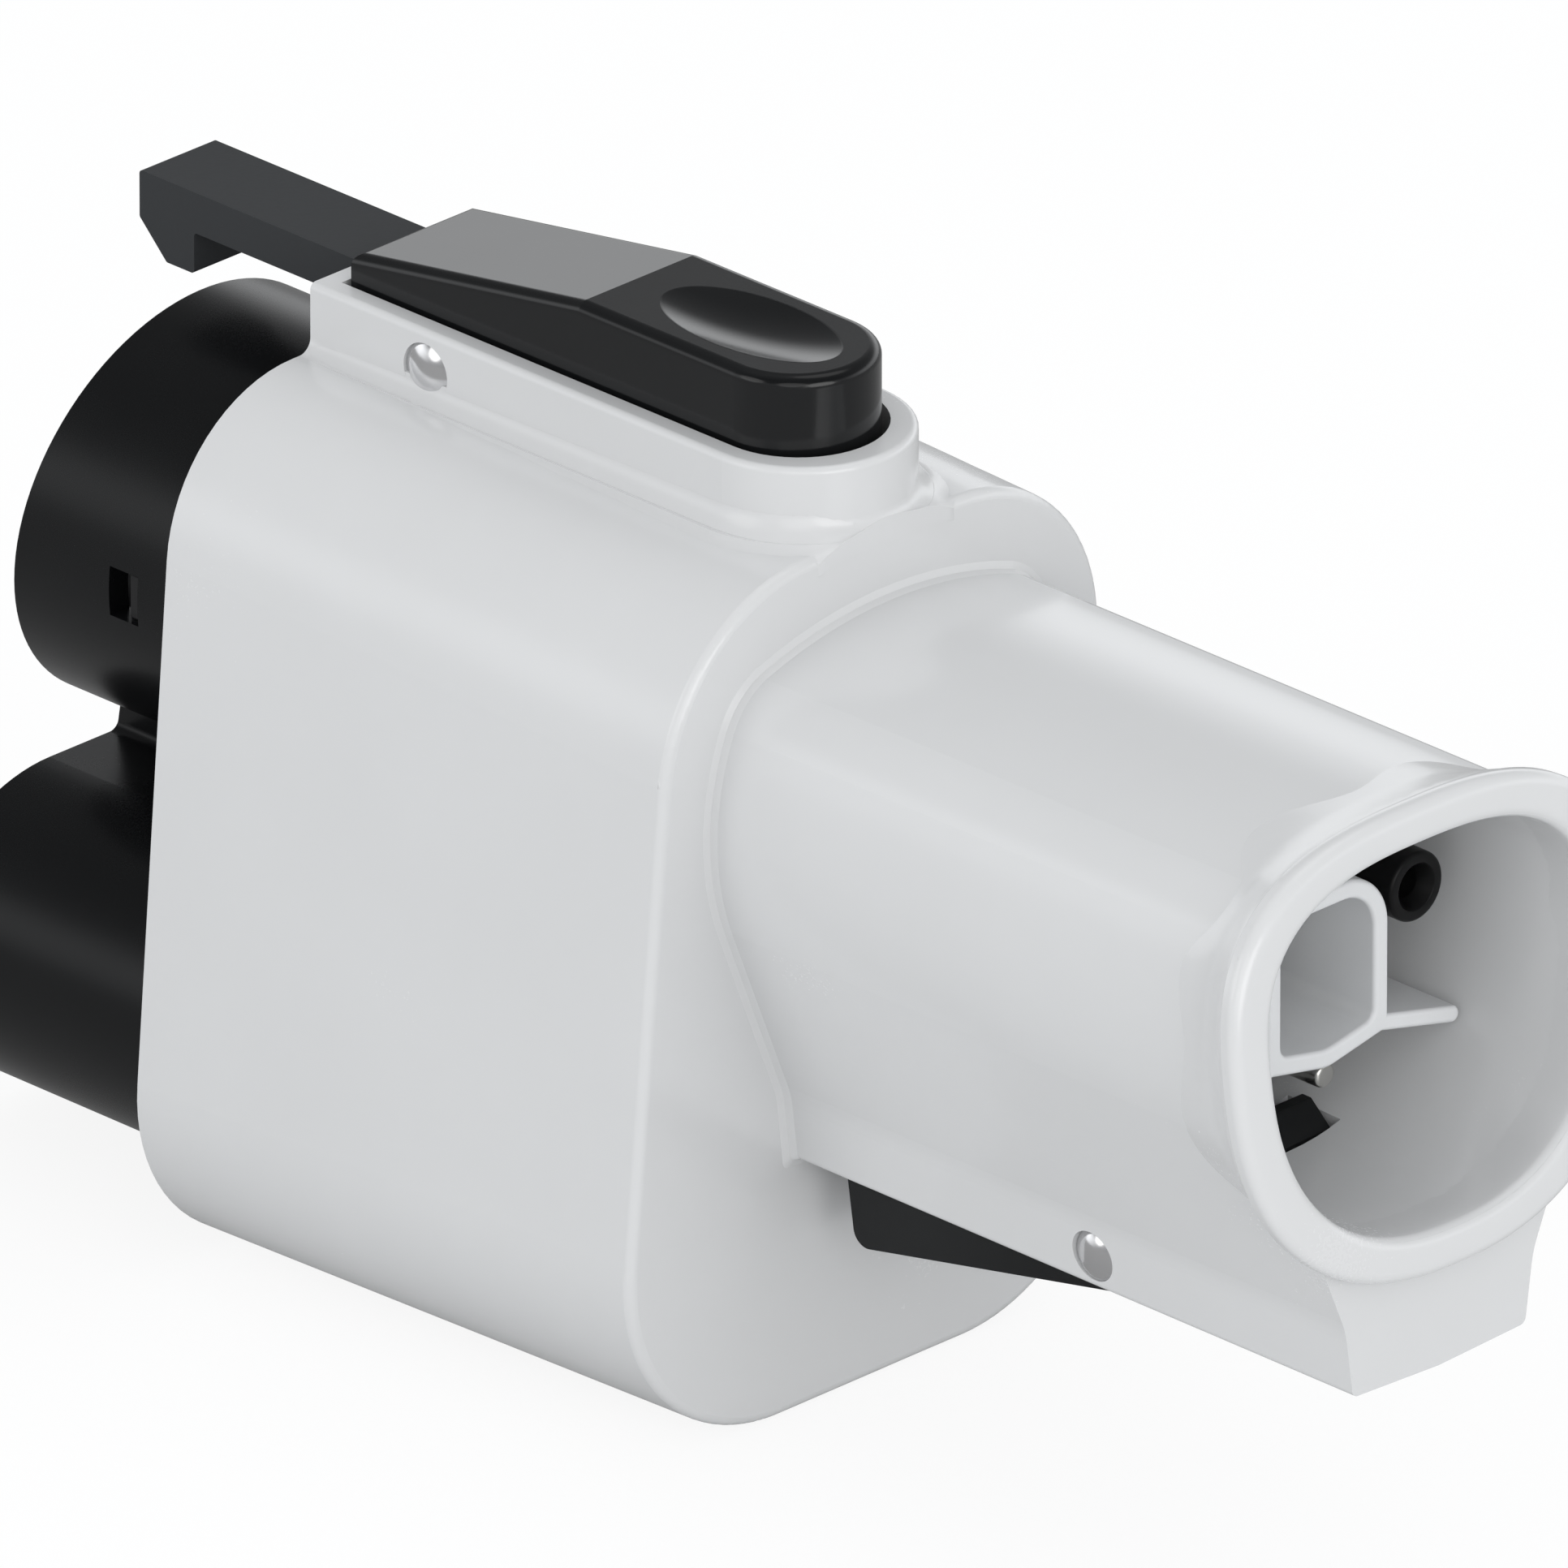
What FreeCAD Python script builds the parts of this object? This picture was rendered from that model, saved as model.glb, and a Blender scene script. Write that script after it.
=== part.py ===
import FreeCAD
import Part
import math
import os

# DC charging adapter: a two-barrel vehicle plug at the left (-X), a moulded white hull, and a
# five-pin inlet in a nozzle at the right (+X). Millimetres, +Z up. The origin is where the axis
# of the plug's round barrel meets its slanted face. The part is symmetric about the XZ plane.

V = FreeCAD.Vector

# Clearances and general sizes
slip = 0.2              # gap round a piece that slides into a seat
pin_gap = 0.05          # radial gap between a hinge pin and what turns on it
seat_gap = 0.02         # radial gap of a pin or screw in the hole that holds it
hinge_side = 0.5        # gap beside a lever in its pocket
wall = 3.2              # wall of the hull
screw_r = 1.5           # shank of every fixing screw
head_r = 2.75           # head of every fixing screw
head_h = 2.4

# Hull
rear_x = 29.6           # open rear end, where the plug goes in
front_x = 96.2          # front face, on the barrel axis
front_lean = 0.0188     # the front face leans forward by this much for each mm of height
hull_bottom = -63.5
base_trim = 0.05        # the underside is drawn this much too low, then cut flat
waist_high = 9.0        # heights at which the flank widths are given
waist_low = -43.0
rear_top = 27.3
rear_wide_high = 30.7
rear_wide_low = 34.8
rear_r_up = 17.1
rear_r_low = 19.3
front_top = 26.7
front_wide_high = 29.5
front_wide_low = 33.4
front_r_up = 19.6
front_r_low = 20.8
hull_edge_r = 1.0       # rounding round the front face

# Collar and the pocket of the thumb lever
collar_half = 11.06
collar_top = 34.5
collar_round_x = 85.5   # centre of the round front end
collar_edge_r = 0.7
bead_r = 1.5            # fillet between collar and hull
pocket_half = 8.8
pocket_rear_x = 31.6
pocket_round_x = 84.9
pocket_floor = 21.5
tub_wall = 2.2
notch_half = 5.5        # gap in the rear wall, for the hook arm
notch_floor = 30.1

# Thumb lever and hook arm
latch_x = 45.3          # hinge axis of the latch
latch_z = 30.2
latch_pin_r = 2.95
latch_hub_r = 4.8
lever_rear_x = 32.4
lever_front_x = 92.7
lever_ridge_x = 63.3    # the sloping top ends here
lever_bottom = 28.5
lever_rear_top = 37.5
lever_top = 42.4
lever_edge_r = 1.2
lever_hollow_x = 64.0
lever_hollow_top = 36.0
lever_skin = 2.5
dish_x = 78.5           # thumb dish, an ellipse on the flat top
dish_long = 10.95
dish_wide = 5.56
dish_deep = 2.5
arm_half = 5.0
arm_top = 35.05
arm_thick = 4.3
arm_front_x = 59.5      # end of the arm inside the lever
hook_len = 7.5          # hook head, from X = 0
hook_deep = 8.65
hook_nose = 4.95
hook_chin_x = 3.7
arm_screws_at = (36.8, 54.0)
arm_screw_len = 6.0

# Nozzle and its keel
nozzle_top = 19.7
side_half = 23.3        # half width, where the side arc is widest
side_z = 2.0
side_r = 28.0
corner_r = 8.0
corner_from = 21.8      # degrees above the side, start and end of the corner arc
corner_to = 67.0
flank_deg = 22.7
flank_low = -28.9       # the flanks turn down into the keel here
keel_half = 11.7
keel_low = -36.1
keel_vee = 0.5
keel_edge_r = 0.8
flank_r = 9.0
foot_x = 171.1          # front face of the keel
root_r = 1.0            # fillet between nozzle and hull

# Mouth: slanted face, flared lip and the cavity behind it
mouth_x = 170.8
mouth_lean = -0.12
egg_mid = 1.5           # height at which the egg-shaped sections are widest
egg_top_power = 2.7
egg_low_power = 2.35
lip_half = 27.2
lip_top = 21.4
lip_low = -25.1
lip_edge_r = 1.1
mouth_half = 22.4
mouth_top = 17.7
mouth_low = -21.1
bore_half = 20.7        # cavity of the inlet
bore_top = 17.0
bore_low = -21.5
flare_x = 160.5
bore_straight_x = 136.0

# Bulkhead that carries the inlet, and the inlet moulding
bulk_front_x = 118.0
bulk_thick = 4.0
plate_thick = 4.0
shroud_face_x = 156.2
shroud_half = 8.2
shroud_top = 8.4
shroud_corner_r = 6.0
shroud_wall = 1.9
shroud_edge_r = 0.5
shroud_side_low = -8.8
shroud_vee_deg = 11.1
wing_tip = 17.9
wing_deg = 13.5
wing_thick = 1.7
wing_root_z = -7.4

# Pins of the inlet
dc_pin_y = 12.6
dc_pin_z = 4.3
dc_pin_r = 3.6
dc_pin_face_x = 155.5
dc_cap_len = 10.0
dc_cap_hole_r = 1.6
dc_cap_sink_r = 2.45
dc_neck_r = 2.2
dc_shoulder_r = 5.6
dc_shoulder_len = 2.5
stud_r = 3.0
nut_across = 10.0
nut_high = 4.0
gnd_pin_z = -1.0
gnd_pin_r = 3.0
gnd_pin_tip_x = 146.0
sig_pin_y = 7.0
sig_pin_z = -15.9
sig_pin_r = 1.3
sig_pin_tip_x = 149.0
tail_r = 1.0
boss_rise = 3.0

# Release lever under the nozzle
release_x = 136.7
release_z = -32.6
release_pin_r = 2.65
release_half = 9.0
release_hook_half = 7.3
release_rear_x = 99.7
release_rear_low_x = 101.6
release_low = -44.5
release_top = -32.1
release_heel_x = 141.5
release_heel_z = -36.5
release_hub_r = 4.3
hook_tip_z = -19.0
hook_back_x = 145.4
hook_flat = 1.3
hook_ramp = 2.7
hook_ramp_drop = 2.4
keel_roof = -24.0       # roof of the slot in the keel
keel_slot_rear_x = 97.0
keel_slot_front_x = 153.4
floor_slot_rear_x = 143.0
floor_slot_front_x = 150.1
floor_slot_slant = 0.8
pin_proud = 0.5         # how far the pins' domed ends stand out
dome_rise = 0.9

# Springs
latch_spring_x = 79.0
latch_spring_r = 3.2
latch_spring_wire = 0.9
latch_spring_turns = 5.5
release_spring_x = 111.0
release_spring_r = 2.6
release_spring_wire = 0.7
release_spring_turns = 3.5
coil_steps = 12         # stations for each turn of a spring

# Plug nose
face_slant = 0.16       # the face leans back by this much for each mm of height
barrel_r = 21.9
barrel_wall = 2.6
dc_spread = 13.5        # half distance of the two DC contacts
dc_z = -42.3
dc_r = 16.3
tunnel_r = 11.5
neck_half = 4.3
neck_r = 1.0
barrel_bore_x = 30.0    # end of the round barrel's bore
tail_bore_r = 16.5
tunnel_end_x = 22.0
flange_rear_x = 30.2
flange_thick = 5.0
rim_wall = 1.6          # the hull's rim round the flange
gasket_thick = 1.0
window_x = 12.8         # window for the contact block's snap tab
window_long = 3.9
window_high = 5.2
boss_r = 5.0
boss_len = 13.0
boss_bury = 0.8         # how far the screw bosses sink into the wall
upper_boss_deg = 41.0   # the upper bosses stand on the corner arc, this far above its side
lower_screw_z = -17.0
plug_screw_len = 14.0

# Contact blocks and contacts of the plug
ac_block_x = 14.0
ac_silo_x = 4.6
line_y = 7.9
line_z = 6.8
pilot_y = 10.8
pilot_z = -5.6
ground_z = -10.6
big_silo_r = 4.3
small_silo_r = 3.0
tab_gap = 0.4
dc_silo_x = -4.0
dc_silo_r = 8.0
dc_silo_lip = 4.0
dc_silo_hole_r = 4.4
dc_block_plate = 4.0
dc_socket_r = 6.0
dc_socket_bore_r = 4.05
dc_socket_depth = 27.0
socket_flange_r = 7.4
socket_flange = 2.0
socket_slit = 0.8
line_socket_r = 2.6
blank_r = 1.9           # blind hole of the two unused line silos
line_socket_bore_r = 1.45
small_socket_r = 1.7
small_socket_bore_r = 0.8
small_socket_depth = 16.0
socket_tail = 4.0

# Busbars and leads
bar_thick = 3.0
bar_wide = 11.0
bar_upper_back = 10.5   # rear face of the plate on the inlet's stud, behind the bulkhead's face
bar_lower_x = 58.0      # rear face of the plate on the socket's stud
bar_level_z = -9.5
bar_bend_r = 4.0
bar_top_reach = 5.5
lead_r = 1.6
ground_lead_r = 2.4
lead_run_y = 4.0
lead_run_z = -15.5
lead_start = 5.0        # straight length of a signal lead behind its socket
lead_slant = 16.0       # a lead has left its socket's line, or gets to its pin's, in this length


def point(x, y, z):
    return V(x, y, z)


def bend(a, b, c, r):
    """Start, middle and end of the arc of radius r that rounds the corner b between a and c."""
    ua = (a[0] - b[0], a[1] - b[1])
    uc = (c[0] - b[0], c[1] - b[1])
    len_a = math.hypot(*ua)
    len_c = math.hypot(*uc)
    ua = (ua[0] / len_a, ua[1] / len_a)
    uc = (uc[0] / len_c, uc[1] / len_c)
    half = math.acos(max(-1.0, min(1.0, ua[0] * uc[0] + ua[1] * uc[1]))) / 2
    back = r / math.tan(half)
    reach = r / math.sin(half) - r
    mid = (ua[0] + uc[0], ua[1] + uc[1])
    size = math.hypot(*mid)
    return (
        (b[0] + ua[0] * back, b[1] + ua[1] * back),
        (b[0] + mid[0] / size * reach, b[1] + mid[1] / size * reach),
        (b[0] + uc[0] * back, b[1] + uc[1] * back),
    )


def rounded_wire(corners, radii, place):
    """Closed wire through flat corners (u, v), each rounded by its radius; place maps (u, v) to space."""
    count = len(corners)
    bends = []
    for i in range(count):
        b = corners[i]
        c = corners[(i + 1) % count]
        bends.append(bend(corners[i - 1], b, c, radii[i]) if radii[i] else (b, b, b))
    edges = []
    for i in range(count):
        start, mid, end = bends[i]
        if start != end:
            edges.append(Part.Arc(place(*start), place(*mid), place(*end)).toShape())
        following = bends[(i + 1) % count][0]
        if math.hypot(following[0] - end[0], following[1] - end[1]) > 1e-6:
            edges.append(Part.LineSegment(place(*end), place(*following)).toShape())
    return Part.Wire(edges)


def across(x, lean=0.0):
    """Plane that faces along X, leaning forward by lean for each mm of height."""
    return lambda y, z: point(x + lean * z, y, z)


def upright(y):
    """Plane that faces along Y."""
    return lambda x, z: point(x, y, z)


def level(z):
    """Plane that faces up."""
    return lambda x, y: point(x, y, z)


def prism(wire, move):
    return Part.Face(wire).extrude(move)


def slab(corners, radii, half):
    """Profile in the XZ plane, extruded to both sides of the centre plane."""
    return prism(rounded_wire(corners, radii, upright(-half)), V(0, 2 * half, 0))


def rod(r, x0, x1, y=0.0, z=0.0):
    """Round bar along X."""
    return Part.makeCylinder(r, x1 - x0, point(x0, y, z), V(1, 0, 0))


def cross_rod(r, half, x, z):
    """Round bar along Y."""
    return Part.makeCylinder(r, 2 * half, point(x, -half, z), V(0, 1, 0))


def block(x0, x1, half, z0, z1):
    return Part.makeBox(x1 - x0, 2 * half, z1 - z0, point(x0, -half, z0))


def fuse(first, others):
    shape = first
    for other in others:
        shape = shape.fuse(other)
    return shape.removeSplitter()


def cut(first, others):
    shape = first
    for other in others:
        shape = shape.cut(other)
    return shape


def hull_size(x, rear, front):
    share = (x - rear_x) / (front_x - rear_x)
    return rear + (front - rear) * share


def flank_slope(x):
    """How much the hull's flank goes outwards for each mm down."""
    high = hull_size(x, rear_wide_high, front_wide_high)
    wide = hull_size(x, rear_wide_low, front_wide_low)
    return (wide - high) / (waist_high - waist_low)


def flank_half(x, z):
    """Half width of the hull at height z, where its flank is straight."""
    return hull_size(x, rear_wide_high, front_wide_high) + (waist_high - z) * flank_slope(x)


def hull_wire(x, inset, lean=0.0):
    """Section of the hull at x, drawn inwards by inset: straight flanks and four round corners."""
    top = hull_size(x, rear_top, front_top) - inset
    low = hull_bottom - base_trim + inset
    shift = inset / math.cos(math.atan(flank_slope(x)))
    y_top = flank_half(x, top) - shift
    y_low = flank_half(x, low) - shift
    r_up = hull_size(x, rear_r_up, front_r_up) - inset
    r_low = hull_size(x, rear_r_low, front_r_low) - inset
    corners = [(y_top, top), (y_low, low), (-y_low, low), (-y_top, top)]
    return rounded_wire(corners, [r_up, r_low, r_low, r_up], across(x, lean))


def hull_solid(x0, x1, inset, lean=0.0):
    return Part.makeLoft([hull_wire(x0, inset), hull_wire(x1, inset, lean)], True, True)


def front_edges(solid, lean_x, tolerance=0.4):
    """Edges that lie in the leaning front plane."""
    found = []
    for edge in solid.Edges:
        box = edge.BoundBox
        near = lean_x + front_lean * box.Center.z
        if abs(box.Center.x - near) < tolerance and box.XLength < 2.5:
            found.append(edge)
    return found


def egg_wire(x, lean, half, top, low):
    """Closed curve |y/half|^p + |(z-mid)/reach|^p = 1, with its own power above and below mid."""
    steps = 28
    points = []
    for i in range(steps):
        turn = 2 * math.pi * i / steps
        c = math.cos(turn)
        s = math.sin(turn)
        power = egg_top_power if s >= 0 else egg_low_power
        reach = top - egg_mid if s >= 0 else egg_mid - low
        size = (abs(c) ** power + abs(s) ** power) ** (-1 / power)
        y = half * c * size
        z = egg_mid + reach * s * size
        points.append(point(x + lean * z, y, z))
    curve = Part.BSplineCurve()
    curve.interpolate(Points=points, PeriodicFlag=True)
    return Part.Wire([curve.toShape()])


def nozzle_wire(x, inset=0.0, tilt=0.0):
    """Outer section of nozzle and keel: shallow top arc, corner arcs, side arcs, flanks and keel."""
    side_centre = (side_half - side_r, side_z)
    start = math.radians(corner_from)
    end = math.radians(corner_to)
    lean = math.radians(flank_deg)
    big = side_r - inset
    small = corner_r - inset
    apart = side_r - corner_r
    corner = (side_centre[0] + apart * math.cos(start), side_z + apart * math.sin(start))

    def on_corner(turn):
        return (corner[0] + small * math.cos(turn), corner[1] + small * math.sin(turn))

    def on_side(turn):
        return (side_centre[0] + big * math.cos(turn), side_z + big * math.sin(turn))

    crease = on_corner(end)
    joined = on_side(start)
    flank = on_side(-lean)
    keel_top = (flank[0] - (flank[1] - flank_low) * math.tan(lean), flank_low)
    keel = (keel_half - inset, keel_low + inset)
    put = across(x, tilt)

    def arc(a, b, c):
        return Part.Arc(put(*a), put(*b), put(*c)).toShape()

    def line(a, b):
        return Part.LineSegment(put(*a), put(*b)).toShape()

    def flip(p):
        return (-p[0], p[1])

    top = (0, nozzle_top - inset)
    lowest = (0, keel_low - keel_vee + inset)
    bend_start, bend_mid, bend_end = bend(flank, keel_top, keel, flank_r)
    edge_start, edge_mid, edge_end = bend(keel_top, keel, lowest, keel_edge_r)
    right = [
        (arc, (joined, on_corner((start + end) / 2), crease)),
        (arc, (joined, on_side((start - lean) / 2), flank)),
        (line, (flank, bend_start)),
        (arc, (bend_start, bend_mid, bend_end)),
        (line, (bend_end, edge_start)),
        (arc, (edge_start, edge_mid, edge_end)),
        (line, (edge_end, lowest)),
    ]
    edges = [arc(crease, top, flip(crease))]
    for make, ends in right:
        edges.append(make(*ends))
        edges.append(make(*[flip(p) for p in ends]))
    return Part.Wire(Part.__sortEdges__(edges))


def stadium_plan(x0, x_round, half, z):
    """Plan outline: square at the rear, a half circle at the front."""
    put = level(z)
    return Part.Wire([
        Part.LineSegment(put(x0, -half), put(x_round, -half)).toShape(),
        Part.Arc(put(x_round, -half), put(x_round + half, 0), put(x_round, half)).toShape(),
        Part.LineSegment(put(x_round, half), put(x0, half)).toShape(),
        Part.LineSegment(put(x0, half), put(x0, -half)).toShape(),
    ])


def stadium(x0, x_round, half, z0, z1):
    return prism(stadium_plan(x0, x_round, half, z0), V(0, 0, z1 - z0))


def twin_wire(x, r, lean=0.0):
    """Outline round the two DC contacts: half circles joined by flats."""
    put = across(x, lean)
    return Part.Wire([
        Part.LineSegment(put(-dc_spread, dc_z + r), put(dc_spread, dc_z + r)).toShape(),
        Part.Arc(put(dc_spread, dc_z + r), put(dc_spread + r, dc_z), put(dc_spread, dc_z - r)).toShape(),
        Part.LineSegment(put(dc_spread, dc_z - r), put(-dc_spread, dc_z - r)).toShape(),
        Part.Arc(put(-dc_spread, dc_z - r), put(-dc_spread - r, dc_z), put(-dc_spread, dc_z + r)).toShape(),
    ])


def twin(r, x0, x1):
    return prism(twin_wire(x0, r), V(x1 - x0, 0, 0))


# Values that follow from the sizes above
ledge_x = flange_rear_x + flange_thick + gasket_thick
front_inner_x = front_x - wall
bulk_rear_x = bulk_front_x - bulk_thick
plate_front_x = bulk_front_x + plate_thick
dc_block_front_x = flange_rear_x + flange_thick + dc_block_plate

def upper_screw():
    """Place of an upper plug screw: its boss touches the hull's wall on the corner arc."""
    r = hull_size(ledge_x, rear_r_up, front_r_up)
    centre_z = hull_size(ledge_x, rear_top, front_top) - r
    centre_y = flank_half(ledge_x, centre_z) - r / math.cos(math.atan(flank_slope(ledge_x)))
    reach = r - wall - boss_r + boss_bury
    turn = math.radians(upper_boss_deg)
    return (centre_y + reach * math.cos(turn), centre_z + reach * math.sin(turn))


def lower_screw():
    """Place of a lower plug screw: its boss touches the hull's straight flank."""
    return (flank_half(ledge_x, lower_screw_z) - wall - boss_r + boss_bury, lower_screw_z)


plug_screws_at = [(side * y, z) for y, z in (upper_screw(), lower_screw()) for side in (1, -1)]
plate_screws_at = [(16.4, -3.9), (-16.4, -3.9), (0.0, 13.0)]
bar_y = dc_pin_y
bar_upper_x = bulk_front_x - bar_upper_back


def collar_bead():
    """Concave fillet strip between collar and hull top."""
    base = rear_top - 0.6
    step = 0.3
    top = rear_top + bead_r
    outer = collar_half + bead_r
    inner = collar_half - step

    def strip(side):
        put = across(rear_x)
        corner = Part.Wire([
            Part.LineSegment(put(side * inner, base), put(side * outer, base)).toShape(),
            Part.LineSegment(put(side * outer, base), put(side * outer, rear_top)).toShape(),
            Part.Arc(
                put(side * outer, rear_top),
                put(side * (outer - bead_r * math.sin(math.pi / 4)), top - bead_r * math.sin(math.pi / 4)),
                put(side * collar_half, top),
            ).toShape(),
            Part.LineSegment(put(side * collar_half, top), put(side * inner, top)).toShape(),
            Part.LineSegment(put(side * inner, top), put(side * inner, base)).toShape(),
        ])
        return Part.Face(corner)

    pieces = [strip(side).extrude(V(collar_round_x - rear_x, 0, 0)) for side in (1, -1)]
    profile = strip(-1)
    profile.translate(V(collar_round_x - rear_x, 0, 0))
    pieces.append(profile.revolve(point(collar_round_x, 0, 0), V(0, 0, 1), 180))
    return fuse(pieces[0], pieces[1:])


def leaning_half_space(x, lean, size=200.0):
    """Everything in front of the leaning plane."""
    corners = [(x - lean * size, -size), (x + lean * size, size), (x + size, size), (x + size, -size)]
    return slab(corners, [0, 0, 0, 0], size)


def hull_outer():
    body = hull_solid(rear_x, front_x, 0.0, front_lean)
    body = body.makeFillet(hull_edge_r, front_edges(body, front_x))
    return body.cut(block(rear_x - 1, front_x + 1, rear_wide_low * 2, hull_bottom - 1, hull_bottom))


def collar():
    solid = stadium(rear_x, collar_round_x, collar_half, pocket_floor - tub_wall, collar_top)
    top = [e for e in solid.Edges if abs(e.BoundBox.ZMin - collar_top) < 0.01]
    rim = [e for e in top if e.BoundBox.XMax > rear_x + 1]
    return solid.makeFillet(collar_edge_r, rim)


def nozzle_outer():
    """Nozzle, keel and foot, cut off behind the slanted mouth."""
    solid = prism(nozzle_wire(front_inner_x), V(foot_x - front_inner_x, 0, 0))
    return solid.cut(leaning_half_space(mouth_x - lip_edge_r - 1.0, mouth_lean))


def root_flare():
    """Concave fillet where the nozzle leaves the hull, in two steps along a quarter circle."""
    near = 1 - math.sin(math.pi / 4)
    stations = [(-0.5, root_r), (0.0, root_r), (near * root_r, near * root_r), (root_r, 0.0)]
    wires = [nozzle_wire(front_x + ahead, -spread, front_lean) for ahead, spread in stations]
    return Part.makeLoft(wires, True, True)


def lip():
    """Flared lip: a smooth loft of egg-shaped sections that lean with the mouth."""
    stations = [
        (flare_x - 8.0, side_half - 1.3, nozzle_top - 1.0, bore_low + 0.7),
        (flare_x - 3.0, side_half - 0.5, nozzle_top - 0.5, bore_low - 0.1),
        (flare_x + 2.0, side_half + 0.5, nozzle_top + 0.1, bore_low - 1.0),
        (flare_x + 6.0, side_half + 2.3, nozzle_top + 0.9, bore_low - 2.4),
        (mouth_x - 1.8, lip_half - 0.15, lip_top - 0.1, lip_low + 0.1),
        (mouth_x, lip_half, lip_top, lip_low),
    ]
    wires = [egg_wire(x, mouth_lean, half, top, low) for x, half, top, low in stations]
    solid = Part.makeLoft(wires, True, False)
    edge = [e for e in solid.Edges if e.isClosed() and e.BoundBox.XMax > mouth_x + 1]
    return solid.makeFillet(lip_edge_r, edge)


def bore_length(x0, x1):
    """Straight length of the inlet's bore."""
    return prism(egg_wire(x0, 0, bore_half, bore_top, bore_low), V(x1 - x0, 0, 0))


def funnel():
    """Front of the inlet's bore, widening to the mouth."""
    wires = [
        egg_wire(bore_straight_x, 0, bore_half, bore_top, bore_low),
        egg_wire(flare_x - 8.0, mouth_lean / 2, bore_half + 0.1, bore_top + 0.02, bore_low),
        egg_wire(flare_x + 2.0, mouth_lean, bore_half + 0.6, bore_top + 0.15, bore_low + 0.1),
        egg_wire(mouth_x - 2.5, mouth_lean, mouth_half - 0.3, mouth_top - 0.15, mouth_low - 0.1),
        egg_wire(mouth_x + 0.5, mouth_lean, mouth_half + 0.2, mouth_top + 0.15, mouth_low - 0.1),
    ]
    return Part.makeLoft(wires, True, False)


def keel_cuts():
    """Slot in the keel for the release lever, and the slanted slot in the bore's floor for its hook."""
    keel_slot = block(
        keel_slot_rear_x, keel_slot_front_x, release_half + hinge_side, keel_low - 6.0, keel_roof
    )
    high = bore_low + 6.0
    low = keel_roof - 1.0
    low_x = floor_slot_front_x + floor_slot_slant * (bore_low - low)
    half = release_hook_half + 0.6
    corners = [(floor_slot_rear_x, low), (low_x, low), (floor_slot_front_x, bore_low)]
    corners += [(floor_slot_front_x, high), (floor_slot_rear_x, high)]
    return [keel_slot, slab(corners, [0] * len(corners), half)]


def bulkhead_holes():
    """Ways for the pins' tails and the plate's screws through the bulkhead."""
    holes = [
        rod(stud_r + 3.0, bulk_rear_x - 1, bulk_front_x + 1, side * dc_pin_y, dc_pin_z) for side in (1, -1)
    ]
    holes.append(rod(gnd_pin_r + 1.0, bulk_rear_x - 1, bulk_front_x + 1, 0, gnd_pin_z))
    holes += [
        rod(sig_pin_r + 1.0, bulk_rear_x - 1, bulk_front_x + 1, side * sig_pin_y, sig_pin_z)
        for side in (1, -1)
    ]
    holes += [rod(screw_r + seat_gap, bulk_rear_x - 1, bulk_front_x + 1, y, z) for y, z in plate_screws_at]
    return holes


def housing_shell():
    """One moulding: hull, collar, nozzle, keel and lip, hollow inside."""
    outer = fuse(hull_outer(), [collar()])
    bead = collar_bead().cut(leaning_half_space(front_x, front_lean))
    outer = fuse(outer, [bead])
    nozzle = nozzle_outer()
    outer = fuse(outer, [nozzle])
    outer = fuse(outer, [root_flare()])
    outer = fuse(outer, [lip()])

    inner = hull_solid(rear_x - 1.0, front_inner_x, wall, front_lean)
    tub = stadium(rear_x - 2.0, collar_round_x, collar_half, pocket_floor - tub_wall, collar_top)
    bosses = [rod(boss_r, ledge_x, ledge_x + boss_len, y, z) for y, z in plug_screws_at]
    inner = cut(inner, [tub] + bosses)
    rim = hull_solid(rear_x - 1.0, ledge_x, rim_wall)
    passage = bore_length(front_inner_x - 5.0, bulk_rear_x)
    bore = bore_length(bulk_front_x, bore_straight_x)
    pocket = stadium(pocket_rear_x, pocket_round_x, pocket_half, pocket_floor, collar_top + 5)
    notch = block(rear_x - 1.0, pocket_rear_x + 1.0, notch_half, notch_floor, collar_top + 5)
    latch_bore = cross_rod(latch_pin_r + seat_gap, collar_half + 5, latch_x, latch_z)
    release_bore = cross_rod(release_pin_r + seat_gap, keel_half + 8, release_x, release_z)
    pilots = [
        rod(screw_r + seat_gap, ledge_x - 1, ledge_x + boss_len - 2.0, y, z) for y, z in plug_screws_at
    ]
    shell = cut(outer, [inner, rim.cut(tub_rear()), passage, bore, funnel(), pocket, notch])
    return cut(shell, keel_cuts() + [latch_bore, release_bore] + pilots + bulkhead_holes())


def tub_rear():
    """The rear wall of the lever's pocket stays closed above the flange."""
    return stadium(rear_x - 2.0, collar_round_x, collar_half, hull_top_inside(), collar_top)


def hull_top_inside():
    return rear_top - wall


def domed_pin(r, half, x, z):
    """Hinge pin across the part, with a shallow dome on each end."""
    shape = cross_rod(r, half, x, z)
    ball_r = (r * r + dome_rise * dome_rise) / (2 * dome_rise)
    domes = []
    for side in (1, -1):
        ball = Part.makeSphere(ball_r, point(x, side * (half - ball_r + dome_rise), z))
        keep = Part.makeCylinder(r, dome_rise, point(x, side * half, z), V(0, side, 0))
        domes.append(ball.common(keep))
    return fuse(shape, domes)


def latch_pivot_pin():
    return domed_pin(latch_pin_r, collar_half - dome_rise + pin_proud, latch_x, latch_z)


def release_pivot_pin():
    return domed_pin(release_pin_r, keel_half + 0.35 - dome_rise + pin_proud, release_x, release_z)


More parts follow.
